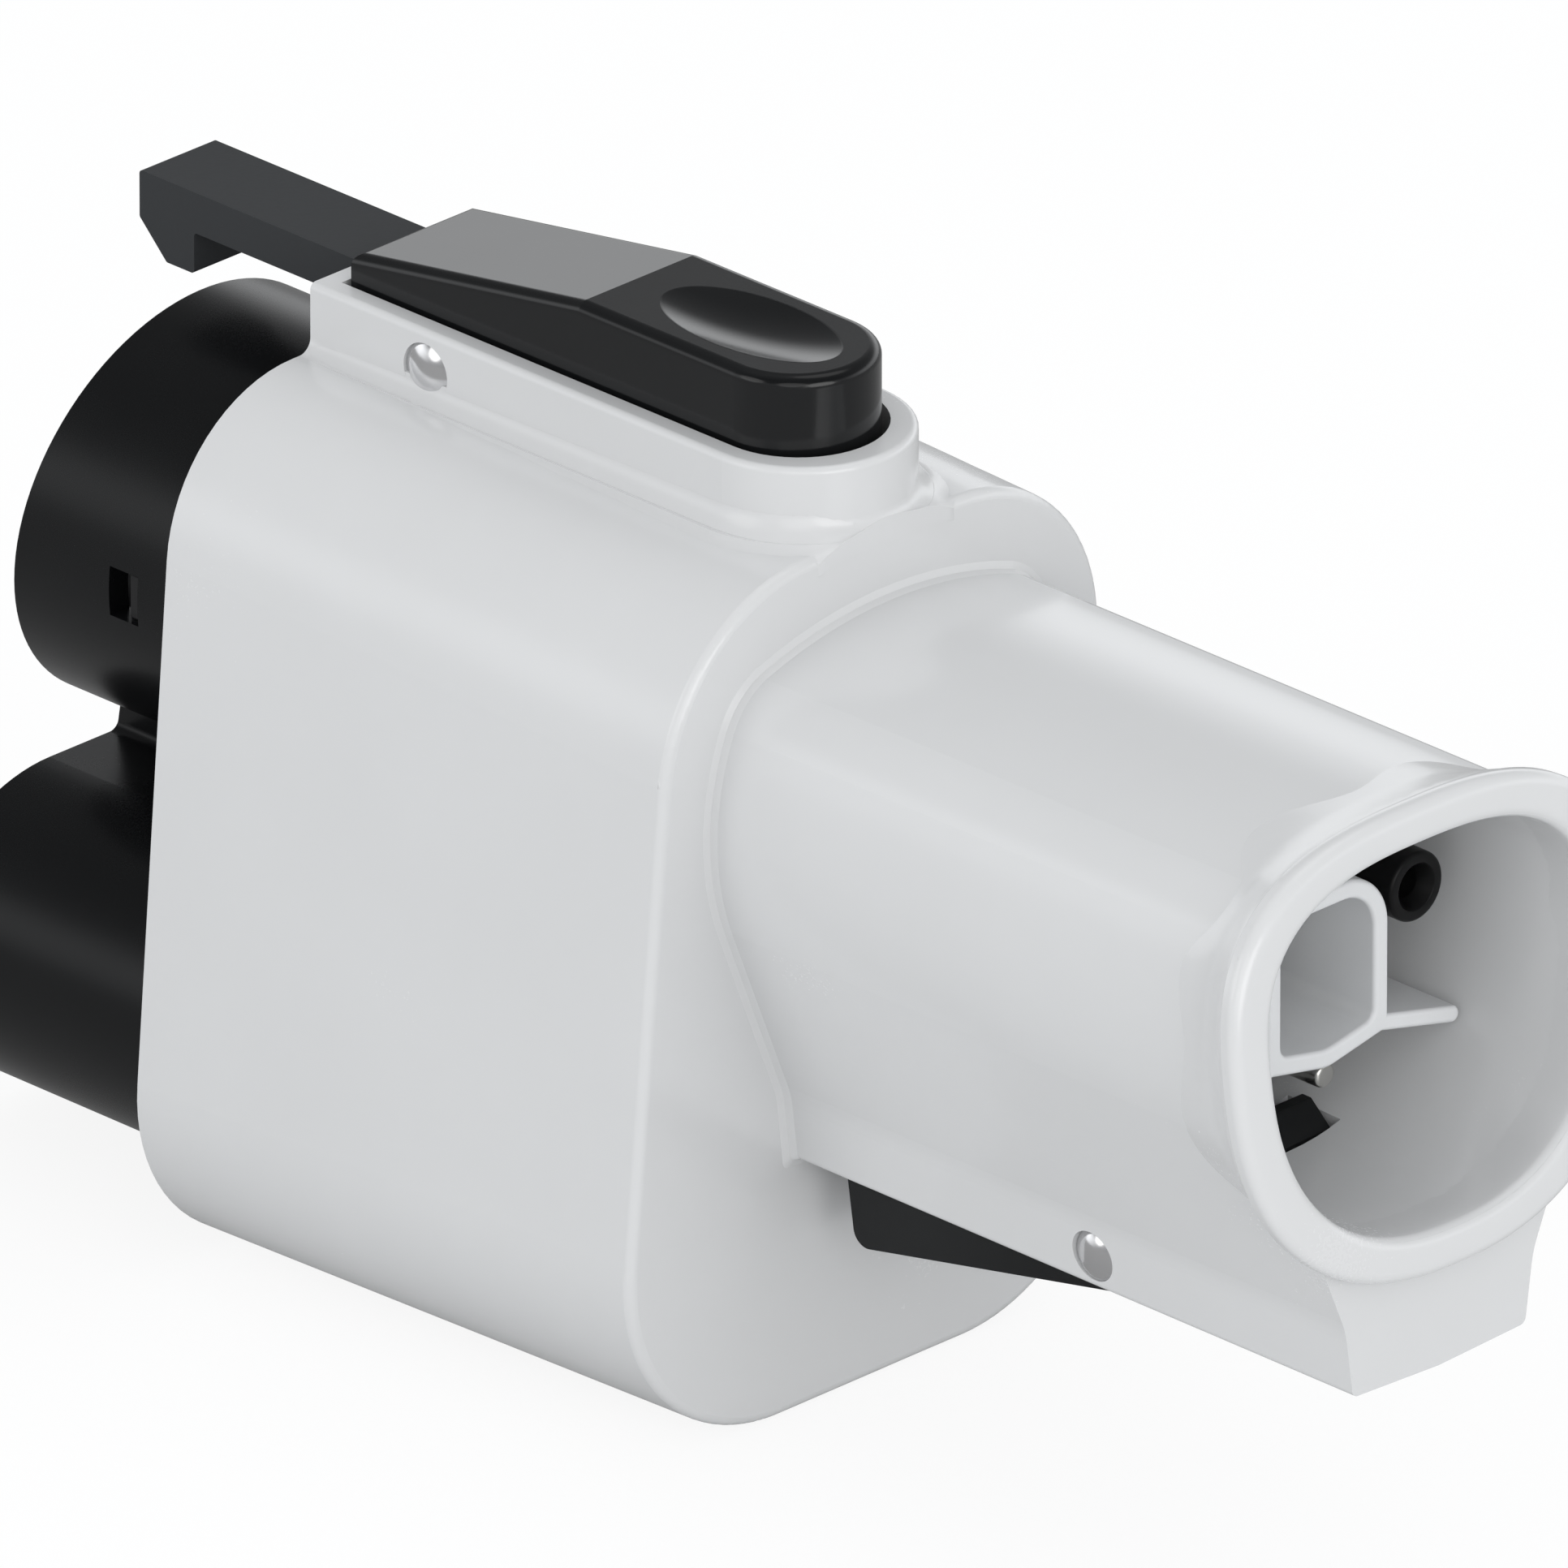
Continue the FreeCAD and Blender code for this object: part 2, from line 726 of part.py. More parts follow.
def thumb_lever():
    """Lever in the collar: sloping top, rounded front, thumb dish, hollow underneath."""
    half = pocket_half - hinge_side
    plan = stadium(lever_rear_x, lever_front_x - half, half, lever_bottom, lever_top)
    corners = [
        (lever_rear_x - 1, lever_bottom - 1),
        (lever_front_x + 1, lever_bottom - 1),
        (lever_front_x + 1, lever_top),
        (lever_ridge_x, lever_top),
        (lever_rear_x, lever_rear_top),
        (lever_rear_x - 1, lever_rear_top),
    ]
    shape = plan.common(slab(corners, [0] * 6, half + 1))
    rim = [e for e in shape.Edges if e.BoundBox.ZMin > lever_rear_top - 0.1 and not ridge(e)]
    shape = shape.makeFillet(lever_edge_r, rim)
    shape = shape.cut(dish())
    hollow = stadium(
        lever_hollow_x, lever_front_x - half, half - lever_skin, lever_bottom - 1, lever_hollow_top
    )
    channel = block(
        lever_rear_x - 1, arm_front_x + slip, arm_half + slip / 2, lever_bottom - 1, arm_top + slip / 2
    )
    bore = cross_rod(latch_pin_r + pin_gap, half + 1, latch_x, latch_z)
    screws = [
        Part.makeCylinder(screw_r + seat_gap, arm_screw_len + 0.5, point(x, 0, arm_top - arm_thick))
        for x in arm_screws_at
    ]
    return cut(shape, [hollow, channel, bore] + screws)


def ridge(edge):
    """The sharp line between the lever's slope and its flat top."""
    box = edge.BoundBox
    return box.XLength < 0.01 and abs(box.XMin - lever_ridge_x) < 0.1


def dish():
    """Ellipsoid whose cut with the lever's top is the dish's ellipse."""
    depth_share = 0.5
    high = dish_deep / (1 - depth_share)
    spread = math.sqrt(1 - depth_share * depth_share)
    ball = Part.makeSphere(1.0)
    grow = FreeCAD.Matrix()
    grow.scale(dish_long / spread, dish_wide / spread, high)
    shape = ball.transformGeometry(grow)
    shape.translate(V(dish_x, 0, lever_top + high * depth_share))
    return shape


def hook_arm():
    """Bar of the latch with its hook head, and the hub that turns on the pivot pin."""
    low = arm_top - arm_thick
    corners = [
        (0, arm_top),
        (0, arm_top - hook_nose),
        (hook_chin_x, arm_top - hook_deep),
        (hook_len, arm_top - hook_deep),
        (hook_len, low),
        (arm_front_x, low),
        (arm_front_x, arm_top),
    ]
    bar = slab(corners, [0.4, 0.4, 0.4, 0.4, 0.4, 0.6, 0.4], arm_half)
    hub = cross_rod(latch_hub_r, arm_half, latch_x, latch_z)
    shape = fuse(bar, [hub])
    holes = [cross_rod(latch_pin_r + pin_gap, arm_half + 1, latch_x, latch_z)]
    for x in arm_screws_at:
        holes.append(Part.makeCylinder(screw_r + seat_gap, arm_thick + 2, point(x, 0, low - 1)))
    return cut(shape, holes)


def arm_screws():
    """Screws from below through the arm into the lever's roof."""
    low = arm_top - arm_thick
    pieces = []
    for x in arm_screws_at:
        head = Part.makeCylinder(head_r, head_h / 1.5, point(x, 0, low - head_h / 1.5))
        shank = Part.makeCylinder(screw_r, arm_screw_len, point(x, 0, low))
        pieces.append(fuse(head, [shank]))
    return Part.Compound(pieces)


def release_lever():
    """Finger wedge, hub and the ramped hook that comes up through the bore's floor."""
    wedge = slab(
        [
            (release_rear_x, release_top),
            (release_rear_low_x, release_low),
            (release_heel_x, release_heel_z),
            (release_heel_x, release_z + 1.0),
            (release_x - 6.0, release_z + 2.6),
            (release_x - 10.0, release_top),
        ],
        [0.6, 1.8, 1.5, 1.5, 0, 0],
        release_half,
    )
    hub = cross_rod(release_hub_r, release_half, release_x, release_z)
    tip_x = hook_back_x + hook_flat
    front = tip_x + hook_ramp
    hook = slab(
        [
            (hook_back_x, hook_tip_z),
            (tip_x, hook_tip_z),
            (front, hook_tip_z - hook_ramp_drop),
            (front, hook_tip_z - 8.5),
            (release_x + 3.5, release_z - 1.5),
            (release_x, release_z + 1.0),
            (hook_back_x, hook_tip_z - 6.0),
        ],
        [0.2, 0.3, 0.3, 2.0, 0.3, 0, 1.5],
        release_hook_half,
    )
    shape = fuse(wedge, [hub, hook])
    seat = Part.makeCylinder(
        release_spring_r + release_spring_wire, 2.0, point(release_spring_x, 0, release_top - 1.0)
    )
    return cut(shape, [cross_rod(release_pin_r + pin_gap, release_half + 1, release_x, release_z), seat])


def coil(x, z0, z1, r, wire_r, turns):
    """Compression spring between z0 and z1: a six-sided wire lofted through stations on a helix."""
    rise = (z1 - z0 - 2 * wire_r) / turns
    slope = math.atan(rise / (2 * math.pi * r))
    sections = []
    for i in range(int(turns * coil_steps) + 1):
        turn = 2 * math.pi * i / coil_steps
        out = V(math.cos(turn), math.sin(turn), 0)
        side = V(math.sin(turn) * math.sin(slope), -math.cos(turn) * math.sin(slope), math.cos(slope))
        centre = V(x, 0, z0 + wire_r + rise * i / coil_steps) + out * r
        corners = []
        for k in range(6):
            around = math.pi * k / 3
            corners.append(centre + out * (wire_r * math.cos(around)) + side * (wire_r * math.sin(around)))
        sections.append(Part.makePolygon(corners + [corners[0]]))
    return Part.makeLoft(sections, True, True)


def latch_spring():
    return coil(
        latch_spring_x, pocket_floor, lever_hollow_top, latch_spring_r, latch_spring_wire / 2,
        latch_spring_turns,
    )


def release_spring():
    return coil(
        release_spring_x, release_top - 1.0, keel_roof, release_spring_r, release_spring_wire / 2,
        release_spring_turns,
    )


def barrel_front():
    """Half space in front of the slanted face of the plug."""
    size = 200.0
    corners = [
        (-face_slant * size, -size), (face_slant * size, size), (-size, size), (-size, -size),
    ]
    return slab(corners, [0, 0, 0, 0], size)


def plug_nose():
    """Black moulding: round barrel, twin barrel, the neck between them and the flange behind."""
    start = -20.0
    round_barrel = rod(barrel_r, start, flange_rear_x)
    twin_barrel = twin(dc_r, start, flange_rear_x)
    top = -math.sqrt(barrel_r ** 2 - neck_half ** 2) + 0.5
    low = dc_z + dc_r - 0.5
    neck = block(start, flange_rear_x, neck_half, low, top)
    body = fuse(round_barrel, [twin_barrel, neck])
    roots = [
        e for e in body.Edges
        if e.BoundBox.XLength > 20 and abs(abs(e.BoundBox.Center.y) - neck_half) < 0.1
        and dc_z + dc_r - 1 < e.BoundBox.Center.z < -barrel_r + 2
    ]
    body = body.makeFillet(neck_r, roots)
    body = body.cut(barrel_front())
    flange = hull_solid(flange_rear_x, flange_rear_x + flange_thick, rim_wall + slip)
    body = fuse(body, [flange])
    end = flange_rear_x + flange_thick + 1
    tools = [rod(barrel_r - barrel_wall, start, barrel_bore_x), rod(tail_bore_r, start, end)]
    for side in (1, -1):
        tools.append(rod(tunnel_r, start, end, side * dc_spread, dc_z))
    window = Part.makeBox(
        window_long, 2 * barrel_r + 10, window_high, point(window_x, -barrel_r - 5, -window_high / 2)
    )
    tools.append(window)
    for y, z in plug_screws_at:
        tools.append(rod(screw_r + slip, start, end, y, z))
        tools.append(rod(head_r + slip, start, flange_rear_x + head_h, y, z))
    keep_out = block(rear_x - 1.0, end, collar_half + slip, pocket_floor - tub_wall - slip, collar_top)
    tools.append(keep_out)
    return cut(body, tools)


def plug_gasket():
    """Flat ring between the flange and the ledge in the hull."""
    x0 = flange_rear_x + flange_thick
    ring = hull_solid(x0, x0 + gasket_thick, rim_wall + slip).cut(
        hull_solid(x0 - 1, x0 + gasket_thick + 1, wall)
    )
    tub = block(x0 - 2, x0 + 3, collar_half + slip, pocket_floor - tub_wall - slip, collar_top)
    return ring.cut(tub)


def plug_screws():
    pieces = []
    for y, z in plug_screws_at:
        head = rod(head_r, flange_rear_x, flange_rear_x + head_h, y, z)
        shank = rod(screw_r, flange_rear_x + head_h, flange_rear_x + head_h + plug_screw_len - 2.0, y, z)
        drive = rod(head_r / 2, flange_rear_x - 1, flange_rear_x + head_h / 2, y, z)
        pieces.append(fuse(head, [shank]).cut(drive))
    return Part.Compound(pieces)


def contact_places():
    """The plug's five small contacts: y, z, silo radius."""
    return [
        (line_y, line_z, big_silo_r),
        (-line_y, line_z, big_silo_r),
        (0.0, ground_z, big_silo_r),
        (pilot_y, pilot_z, small_silo_r),
        (-pilot_y, pilot_z, small_silo_r),
    ]


def ac_contact_block():
    """Insulator snapped into the round barrel: disc, skirt and two tabs in the windows."""
    r = barrel_r - barrel_wall - slip / 2
    disc = rod(r, ac_block_x, barrel_bore_x)
    skirt = rod(tail_bore_r - slip / 2, barrel_bore_x, flange_rear_x + flange_thick)
    shape = fuse(disc, [skirt] + [snap_tab(side, r) for side in (1, -1)])
    end = flange_rear_x + flange_thick + 1
    tools = [
        rod(small_socket_r + pin_gap, ac_block_x - 1, end, side * pilot_y, pilot_z)
        for side in (1, -1)
    ]
    tools.append(rod(line_socket_r + pin_gap, ac_block_x - 1, end, 0, ground_z))
    return cut(shape, tools)


def snap_tab(side, r):
    """Ramped tab that springs out into the barrel's window."""
    x0 = window_x + tab_gap
    x1 = window_x + window_long - tab_gap
    half = window_high / 2 - tab_gap
    y0 = side * (r - 1.0)
    y1 = side * (barrel_r - 0.7)
    corners = [(x0, y0), (x0, side * r), (x1 - 1.2, y1), (x1, y1), (x1, y0)]
    return prism(rounded_wire(corners, [0] * 5, level(-half)), V(0, 0, 2 * half))


def ac_contact_silos():
    """Five insulating sleeves in front of the disc; the two line sleeves are blanks."""
    silos = []
    for y, z, r in contact_places():
        silo = rod(r, ac_silo_x, ac_block_x, y, z)
        if z == line_z:
            silo = silo.cut(rod(blank_r, ac_silo_x - 1, ac_block_x - 1.5, y, z))
        else:
            socket_r = line_socket_r if y == 0 else small_socket_r
            bore_r = line_socket_bore_r if y == 0 else small_socket_bore_r
            silo = silo.cut(rod(socket_r + pin_gap, ac_silo_x + 2.0, ac_block_x + 1, y, z))
            silo = silo.cut(rod(bore_r + 0.4, ac_silo_x - 1, ac_silo_x + 3, y, z))
        silos.append(silo)
    return Part.Compound(silos)


def dc_contact_block():
    """Insulator with a silo for each DC contact, pushed into the twin barrel from inside."""
    base_x = flange_rear_x + flange_thick
    shape = twin(tunnel_r - slip, base_x, dc_block_front_x)
    parts = []
    for side in (1, -1):
        y = side * dc_spread
        parts.append(rod(tunnel_r - slip, tunnel_end_x, base_x, y, dc_z))
        parts.append(rod(dc_silo_r, dc_silo_x, tunnel_end_x, y, dc_z))
    shape = fuse(shape, parts)
    tools = []
    for side in (1, -1):
        y = side * dc_spread
        tools.append(rod(dc_silo_hole_r, dc_silo_x - 1, dc_silo_x + dc_silo_lip + 1, y, dc_z))
        tools.append(rod(dc_socket_r + pin_gap, dc_silo_x + dc_silo_lip, dc_block_front_x + 1, y, dc_z))
    return cut(shape, tools)


def dc_socket(side):
    """Machined DC contact: slit barrel, flange and threaded stud."""
    y = side * dc_spread
    start = dc_silo_x + dc_silo_lip
    body = rod(dc_socket_r, start, dc_block_front_x, y, dc_z)
    flange = rod(socket_flange_r, dc_block_front_x, dc_block_front_x + socket_flange, y, dc_z)
    neck = rod(dc_socket_r, dc_block_front_x + socket_flange, bar_lower_x, y, dc_z)
    stud = rod(stud_r, bar_lower_x, bar_lower_x + bar_thick + nut_high + 1.5, y, dc_z)
    shape = fuse(body, [flange, neck, stud])
    bore = rod(dc_socket_bore_r, start - 1, start + dc_socket_depth, y, dc_z)
    slit_len = dc_socket_depth - 6.0
    flat = Part.makeBox(slit_len, 2 * dc_socket_r + 2, socket_slit,
                        point(start - 1, y - dc_socket_r - 1, dc_z - socket_slit / 2))
    tall = Part.makeBox(slit_len, socket_slit, 2 * dc_socket_r + 2,
                        point(start - 1, y - socket_slit / 2, dc_z - dc_socket_r - 1))
    return cut(shape, [bore, flat, tall])


def small_socket(r, bore_r, y, z):
    """Small contact of the round barrel with its crimp tail."""
    end = flange_rear_x + flange_thick
    shape = rod(r, ac_silo_x + 2.0, end, y, z)
    tail = rod(r, end, end + socket_tail, y, z)
    shape = fuse(shape, [tail])
    return shape.cut(rod(bore_r, ac_silo_x + 1, ac_silo_x + 2 + small_socket_depth, y, z))


def hexagon(x, y, z):
    """Hexagon nut on a stud along X."""
    reach = nut_across / math.sqrt(3)
    corners = [
        point(x, y + reach * math.sin(math.pi * k / 3), z + reach * math.cos(math.pi * k / 3))
        for k in range(6)
    ]
    nut = prism(Part.makePolygon(corners + [corners[0]]), V(nut_high, 0, 0))
    return nut.cut(rod(stud_r + seat_gap, x - 1, x + nut_high + 1, y, z))


def busbar(side):
    """Copper strip from the socket's stud up and along to the inlet pin's stud."""
    t = bar_thick
    low = dc_z - bar_top_reach
    high = dc_pin_z + bar_top_reach
    corners = [
        (bar_upper_x, high),
        (bar_upper_x + t, high),
        (bar_upper_x + t, bar_level_z),
        (bar_lower_x + t, bar_level_z),
        (bar_lower_x + t, low),
        (bar_lower_x, low),
        (bar_lower_x, bar_level_z + t),
        (bar_upper_x, bar_level_z + t),
    ]
    radii = [0, 0, bar_bend_r, bar_bend_r - t, 0, 0, bar_bend_r, bar_bend_r - t]
    strip = prism(rounded_wire(corners, radii, upright(side * bar_y - bar_wide / 2)), V(0, bar_wide, 0))
    holes = [
        rod(stud_r + seat_gap, bar_upper_x - 1, bar_upper_x + t + 1, side * dc_pin_y, dc_pin_z),
        rod(stud_r + seat_gap, bar_lower_x - 1, bar_lower_x + t + 1, side * dc_spread, dc_z),
    ]
    return cut(strip, holes)


def busbar_nuts():
    nuts = []
    for side in (1, -1):
        nuts.append(hexagon(bar_upper_x - nut_high, side * dc_pin_y, dc_pin_z))
        nuts.append(hexagon(bar_lower_x + bar_thick, side * dc_spread, dc_z))
    return Part.Compound(nuts)


def shroud_wire(x, inset):
    """Shield-shaped outline: round top corners, straight sides, shallow V below."""
    half = shroud_half - inset
    vee = math.radians(shroud_vee_deg)
    tip = shroud_side_low - shroud_half * math.tan(vee) + inset / math.cos(vee)
    low_side = tip + half * math.tan(vee)
    top = shroud_top - inset
    corners = [(-half, top), (half, top), (half, low_side), (0, tip), (-half, low_side)]
    r_top = shroud_corner_r - inset
    return rounded_wire(corners, [r_top, r_top, 1.4, 5.0, 1.4], across(x))


def wing(side):
    """Thin drooping fin beside the shroud."""
    slope = math.tan(math.radians(wing_deg))
    root = shroud_half - shroud_wall / 2
    rise = (shroud_half - root) * slope
    top_root = wing_root_z + rise
    top_tip = wing_root_z - (wing_tip - shroud_half) * slope
    thick = wing_thick / math.cos(math.radians(wing_deg))
    corners = [
        (side * root, top_root), (side * wing_tip, top_tip),
        (side * wing_tip, top_tip - thick), (side * root, top_root - thick),
    ]
    wire = rounded_wire(corners, [0, 0.8, 0.8, 0], across(plate_front_x))
    return prism(wire, V(shroud_face_x - plate_front_x, 0, 0))


def inlet_base():
    """Base plate of the inlet with a boss round each signal pin and the ground pin."""
    plate = prism(
        egg_wire(bulk_front_x, 0, bore_half - slip, bore_top - slip, bore_low + slip),
        V(plate_thick, 0, 0),
    )
    boss_x = plate_front_x + boss_rise
    bosses = [
        rod(sig_pin_r + 1.4, plate_front_x - 1, boss_x, side * sig_pin_y, sig_pin_z)
        for side in (1, -1)
    ]
    bosses.append(rod(gnd_pin_r + 1.2, plate_front_x - 1, boss_x, 0, gnd_pin_z))
    tools = []
    for side in (1, -1):
        tools.append(rod(stud_r + pin_gap, bulk_front_x - 1, boss_x, side * dc_pin_y, dc_pin_z))
        y = side * sig_pin_y
        tools.append(rod(tail_r + 0.4 + seat_gap, bulk_front_x - 1, boss_x + 1, y, sig_pin_z))
    tools.append(rod(gnd_pin_r - 1.0 + seat_gap, bulk_front_x - 1, boss_x + 1, 0, gnd_pin_z))
    tools += [rod(screw_r + slip, bulk_front_x - 1, boss_x, y, z) for y, z in plate_screws_at]
    return cut(fuse(plate, bosses), tools)


def inlet_shroud():
    """Shield-shaped shroud round the ground pin, with a drooping wing at each side."""
    reach = shroud_face_x - plate_front_x
    box = prism(shroud_wire(plate_front_x, 0), V(reach, 0, 0))
    core = prism(shroud_wire(plate_front_x - 1, shroud_wall), V(reach + 2, 0, 0))
    shape = fuse(box, [wing(1), wing(-1)]).cut(core)
    front = [e for e in shape.Edges if e.BoundBox.XMin > shroud_face_x - 0.01]
    return shape.makeFillet(shroud_edge_r, front)


def carrier_screws():
    pieces = []
    for y, z in plate_screws_at:
        head = rod(head_r, plate_front_x, plate_front_x + head_h, y, z)
        shank = rod(screw_r, bulk_rear_x + 0.5, plate_front_x, y, z)
        drive = rod(head_r / 2, plate_front_x + head_h / 2, plate_front_x + head_h + 1, y, z)
        pieces.append(fuse(head, [shank]).cut(drive))
    return Part.Compound(pieces)


def dc_pin(side):
    """Inlet power pin: shoulder on the plate, stud behind, neck for the touch guard in front."""
    y = side * dc_pin_y
    cap_x = dc_pin_face_x - dc_cap_len
    shoulder = rod(dc_shoulder_r, plate_front_x, plate_front_x + dc_shoulder_len, y, dc_pin_z)
    # the shoulder clears the shroud's wall beside it
    shoulder = shoulder.cut(block(plate_front_x - 1, plate_front_x + 4, shroud_half + slip, -20, 20))
    body = rod(dc_pin_r, plate_front_x, cap_x, y, dc_pin_z)
    neck = rod(dc_neck_r, cap_x, cap_x + dc_cap_len / 2, y, dc_pin_z)
    stud = rod(stud_r, bar_upper_x - nut_high - 1.5, plate_front_x, y, dc_pin_z)
    seat = rod(stud_r + 1.6, bar_upper_x + bar_thick, bulk_front_x, y, dc_pin_z)
    return fuse(shoulder, [body, neck, stud, seat])


def dc_pin_cap(side):
    """Black touch guard on the tip of a power pin, with a countersunk hole."""
    y = side * dc_pin_y
    cap_x = dc_pin_face_x - dc_cap_len
    shape = rod(dc_pin_r, cap_x, dc_pin_face_x, y, dc_pin_z)
    rim = [
        e for e in shape.Edges if e.BoundBox.XMin > dc_pin_face_x - 0.1
    ]
    shape = shape.makeFillet(0.35, rim)
    sink_len = 1.6
    sink = Part.makeCone(
        dc_cap_hole_r, dc_cap_sink_r, sink_len, point(dc_pin_face_x - sink_len, y, dc_pin_z), V(1, 0, 0)
    )
    hole = rod(dc_cap_hole_r, cap_x, dc_pin_face_x, y, dc_pin_z)
    socket = rod(dc_neck_r + seat_gap, cap_x - 1, cap_x + dc_cap_len / 2 + 0.2, y, dc_pin_z)
    return cut(shape, [sink, hole, socket])


def ground_pin():
    tip = 1.0
    body = rod(gnd_pin_r, plate_front_x + boss_rise, gnd_pin_tip_x, 0, gnd_pin_z)
    body = body.makeFillet(tip, [e for e in body.Edges if e.BoundBox.XMin > gnd_pin_tip_x - 0.1])
    tail = rod(gnd_pin_r - 1.0, bulk_rear_x - 4.0, plate_front_x + boss_rise, 0, gnd_pin_z)
    return fuse(body, [tail])


def signal_pin(side):
    y = side * sig_pin_y
    body = rod(sig_pin_r, plate_front_x + boss_rise, sig_pin_tip_x, y, sig_pin_z)
    body = body.makeFillet(0.4, [e for e in body.Edges if e.BoundBox.XMin > sig_pin_tip_x - 0.1])
    tail = rod(tail_r + 0.4, bulk_rear_x - 4.0, plate_front_x + boss_rise, y, sig_pin_z)
    return fuse(body, [tail])


def lead(points, r, share=0.45):
    """Insulated lead: straight runs joined by tangent arcs."""
    places = [V(*p) for p in points]
    edges = []
    here = places[0]
    for i in range(1, len(places) - 1):
        before = places[i - 1] - places[i]
        after = places[i + 1] - places[i]
        back = share * min(before.Length, after.Length)
        ua = V(before).normalize()
        uc = V(after).normalize()
        start = places[i] + ua * back
        end = places[i] + uc * back
        half = ua.getAngle(uc) / 2
        bend_radius = back * math.tan(half)
        reach = bend_radius / math.sin(half) - bend_radius
        mid = places[i] + (ua + uc).normalize() * reach
        edges.append(Part.LineSegment(here, start).toShape())
        edges.append(Part.Arc(start, mid, end).toShape())
        here = end
    edges.append(Part.LineSegment(here, places[-1]).toShape())
    path = Part.Wire(edges)
    ring = Part.Wire([Part.makeCircle(r, places[0], places[1] - places[0])])
    return path.makePipeShell([ring], True, False)


def ground_lead():
    start = flange_rear_x + flange_thick + socket_tail
    end = bulk_rear_x - 4.0
    return lead(
        [
            (start, 0, ground_z),
            (start + lead_slant, 0, ground_z),
            (end - lead_slant, 0, gnd_pin_z),
            (end, 0, gnd_pin_z),
        ],
        ground_lead_r,
    )


def signal_lead(side):
    start = flange_rear_x + flange_thick + socket_tail
    end = bulk_rear_x - 4.0
    return lead(
        [
            (start, side * pilot_y, pilot_z),
            (start + lead_start, side * pilot_y, pilot_z),
            (start + lead_slant, side * lead_run_y, lead_run_z),
            (end - lead_slant, side * lead_run_y, lead_run_z),
            (end - lead_start, side * sig_pin_y, sig_pin_z),
            (end, side * sig_pin_y, sig_pin_z),
        ],
        lead_r,
    )


def model():
    """Every piece by name."""
    solids = {
        "housing_shell": housing_shell(),
        "plug_nose": plug_nose(),
        "plug_gasket": plug_gasket(),
        "plug_screws": plug_screws(),
        "ac_contact_block": ac_contact_block(),
        "ac_contact_silos": ac_contact_silos(),
        "dc_contact_block": dc_contact_block(),
        "ground_socket": small_socket(line_socket_r, line_socket_bore_r, 0, ground_z),
        "busbar_nuts": busbar_nuts(),
        "inlet_base": inlet_base(),
        "inlet_shroud": inlet_shroud(),
        "carrier_screws": carrier_screws(),
        "ground_pin": ground_pin(),
        "ground_lead": ground_lead(),
        "latch_pivot_pin": latch_pivot_pin(),
        "latch_spring": latch_spring(),
        "thumb_lever": thumb_lever(),
        "hook_arm": hook_arm(),
        "arm_screws": arm_screws(),
        "release_pivot_pin": release_pivot_pin(),
        "release_spring": release_spring(),
        "release_lever": release_lever(),
    }
    for side, pole, signal in ((1, "positive", "pilot"), (-1, "negative", "proximity")):
        solids["dc_socket_" + pole] = dc_socket(side)
        solids["busbar_" + pole] = busbar(side)
        solids["dc_pin_" + pole] = dc_pin(side)
        solids["dc_pin_cap_" + pole] = dc_pin_cap(side)
        solids[signal + "_socket"] = small_socket(
            small_socket_r, small_socket_bore_r, side * pilot_y, pilot_z
        )
        solids[signal + "_pin"] = signal_pin(side)
        solids[signal + "_lead"] = signal_lead(side)
    return solids


def main():
    os.makedirs("parts", exist_ok=True)
    for name, shape in model().items():
        shape.exportStep("parts/%s.step" % name)
        print(name, shape.isValid(), len(shape.Solids), round(shape.Volume))


main()
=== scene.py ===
import math

import bpy
import numpy as np
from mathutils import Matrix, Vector


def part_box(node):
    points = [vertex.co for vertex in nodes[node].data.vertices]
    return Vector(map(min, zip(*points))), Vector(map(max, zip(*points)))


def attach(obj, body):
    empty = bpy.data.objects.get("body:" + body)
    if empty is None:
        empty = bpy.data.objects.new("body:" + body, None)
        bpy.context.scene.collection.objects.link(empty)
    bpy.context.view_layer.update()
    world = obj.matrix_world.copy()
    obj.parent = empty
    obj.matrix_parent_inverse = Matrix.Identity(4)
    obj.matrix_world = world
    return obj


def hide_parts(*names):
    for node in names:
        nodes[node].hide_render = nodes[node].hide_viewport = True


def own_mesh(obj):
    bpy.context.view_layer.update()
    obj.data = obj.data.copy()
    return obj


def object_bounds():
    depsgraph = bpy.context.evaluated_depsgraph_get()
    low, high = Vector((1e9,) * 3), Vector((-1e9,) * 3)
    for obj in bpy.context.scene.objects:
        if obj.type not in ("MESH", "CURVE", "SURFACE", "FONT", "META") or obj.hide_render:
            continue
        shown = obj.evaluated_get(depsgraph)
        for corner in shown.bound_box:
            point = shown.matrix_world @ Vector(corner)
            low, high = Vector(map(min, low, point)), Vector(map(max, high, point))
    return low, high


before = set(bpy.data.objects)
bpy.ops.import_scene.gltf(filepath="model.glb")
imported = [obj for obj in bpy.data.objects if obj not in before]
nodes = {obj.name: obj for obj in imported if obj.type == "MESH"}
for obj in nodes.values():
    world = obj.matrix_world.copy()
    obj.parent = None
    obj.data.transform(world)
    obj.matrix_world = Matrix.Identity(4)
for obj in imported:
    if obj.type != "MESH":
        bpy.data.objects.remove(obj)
cadLow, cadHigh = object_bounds()
print("frame loaded:", len(nodes), "nodes")

mm = 0.001


class Sock:
    # an output socket of a node tree; sums and products of it add maths nodes
    def __init__(self, graph, socket):
        self.graph = graph
        self.socket = socket

    def __add__(self, other):
        return self.graph.math("ADD", self, other)

    def __radd__(self, other):
        return self.graph.math("ADD", other, self)

    def __sub__(self, other):
        return self.graph.math("SUBTRACT", self, other)

    def __rsub__(self, other):
        return self.graph.math("SUBTRACT", other, self)

    def __mul__(self, other):
        return self.graph.math("MULTIPLY", self, other)

    def __rmul__(self, other):
        return self.graph.math("MULTIPLY", other, self)


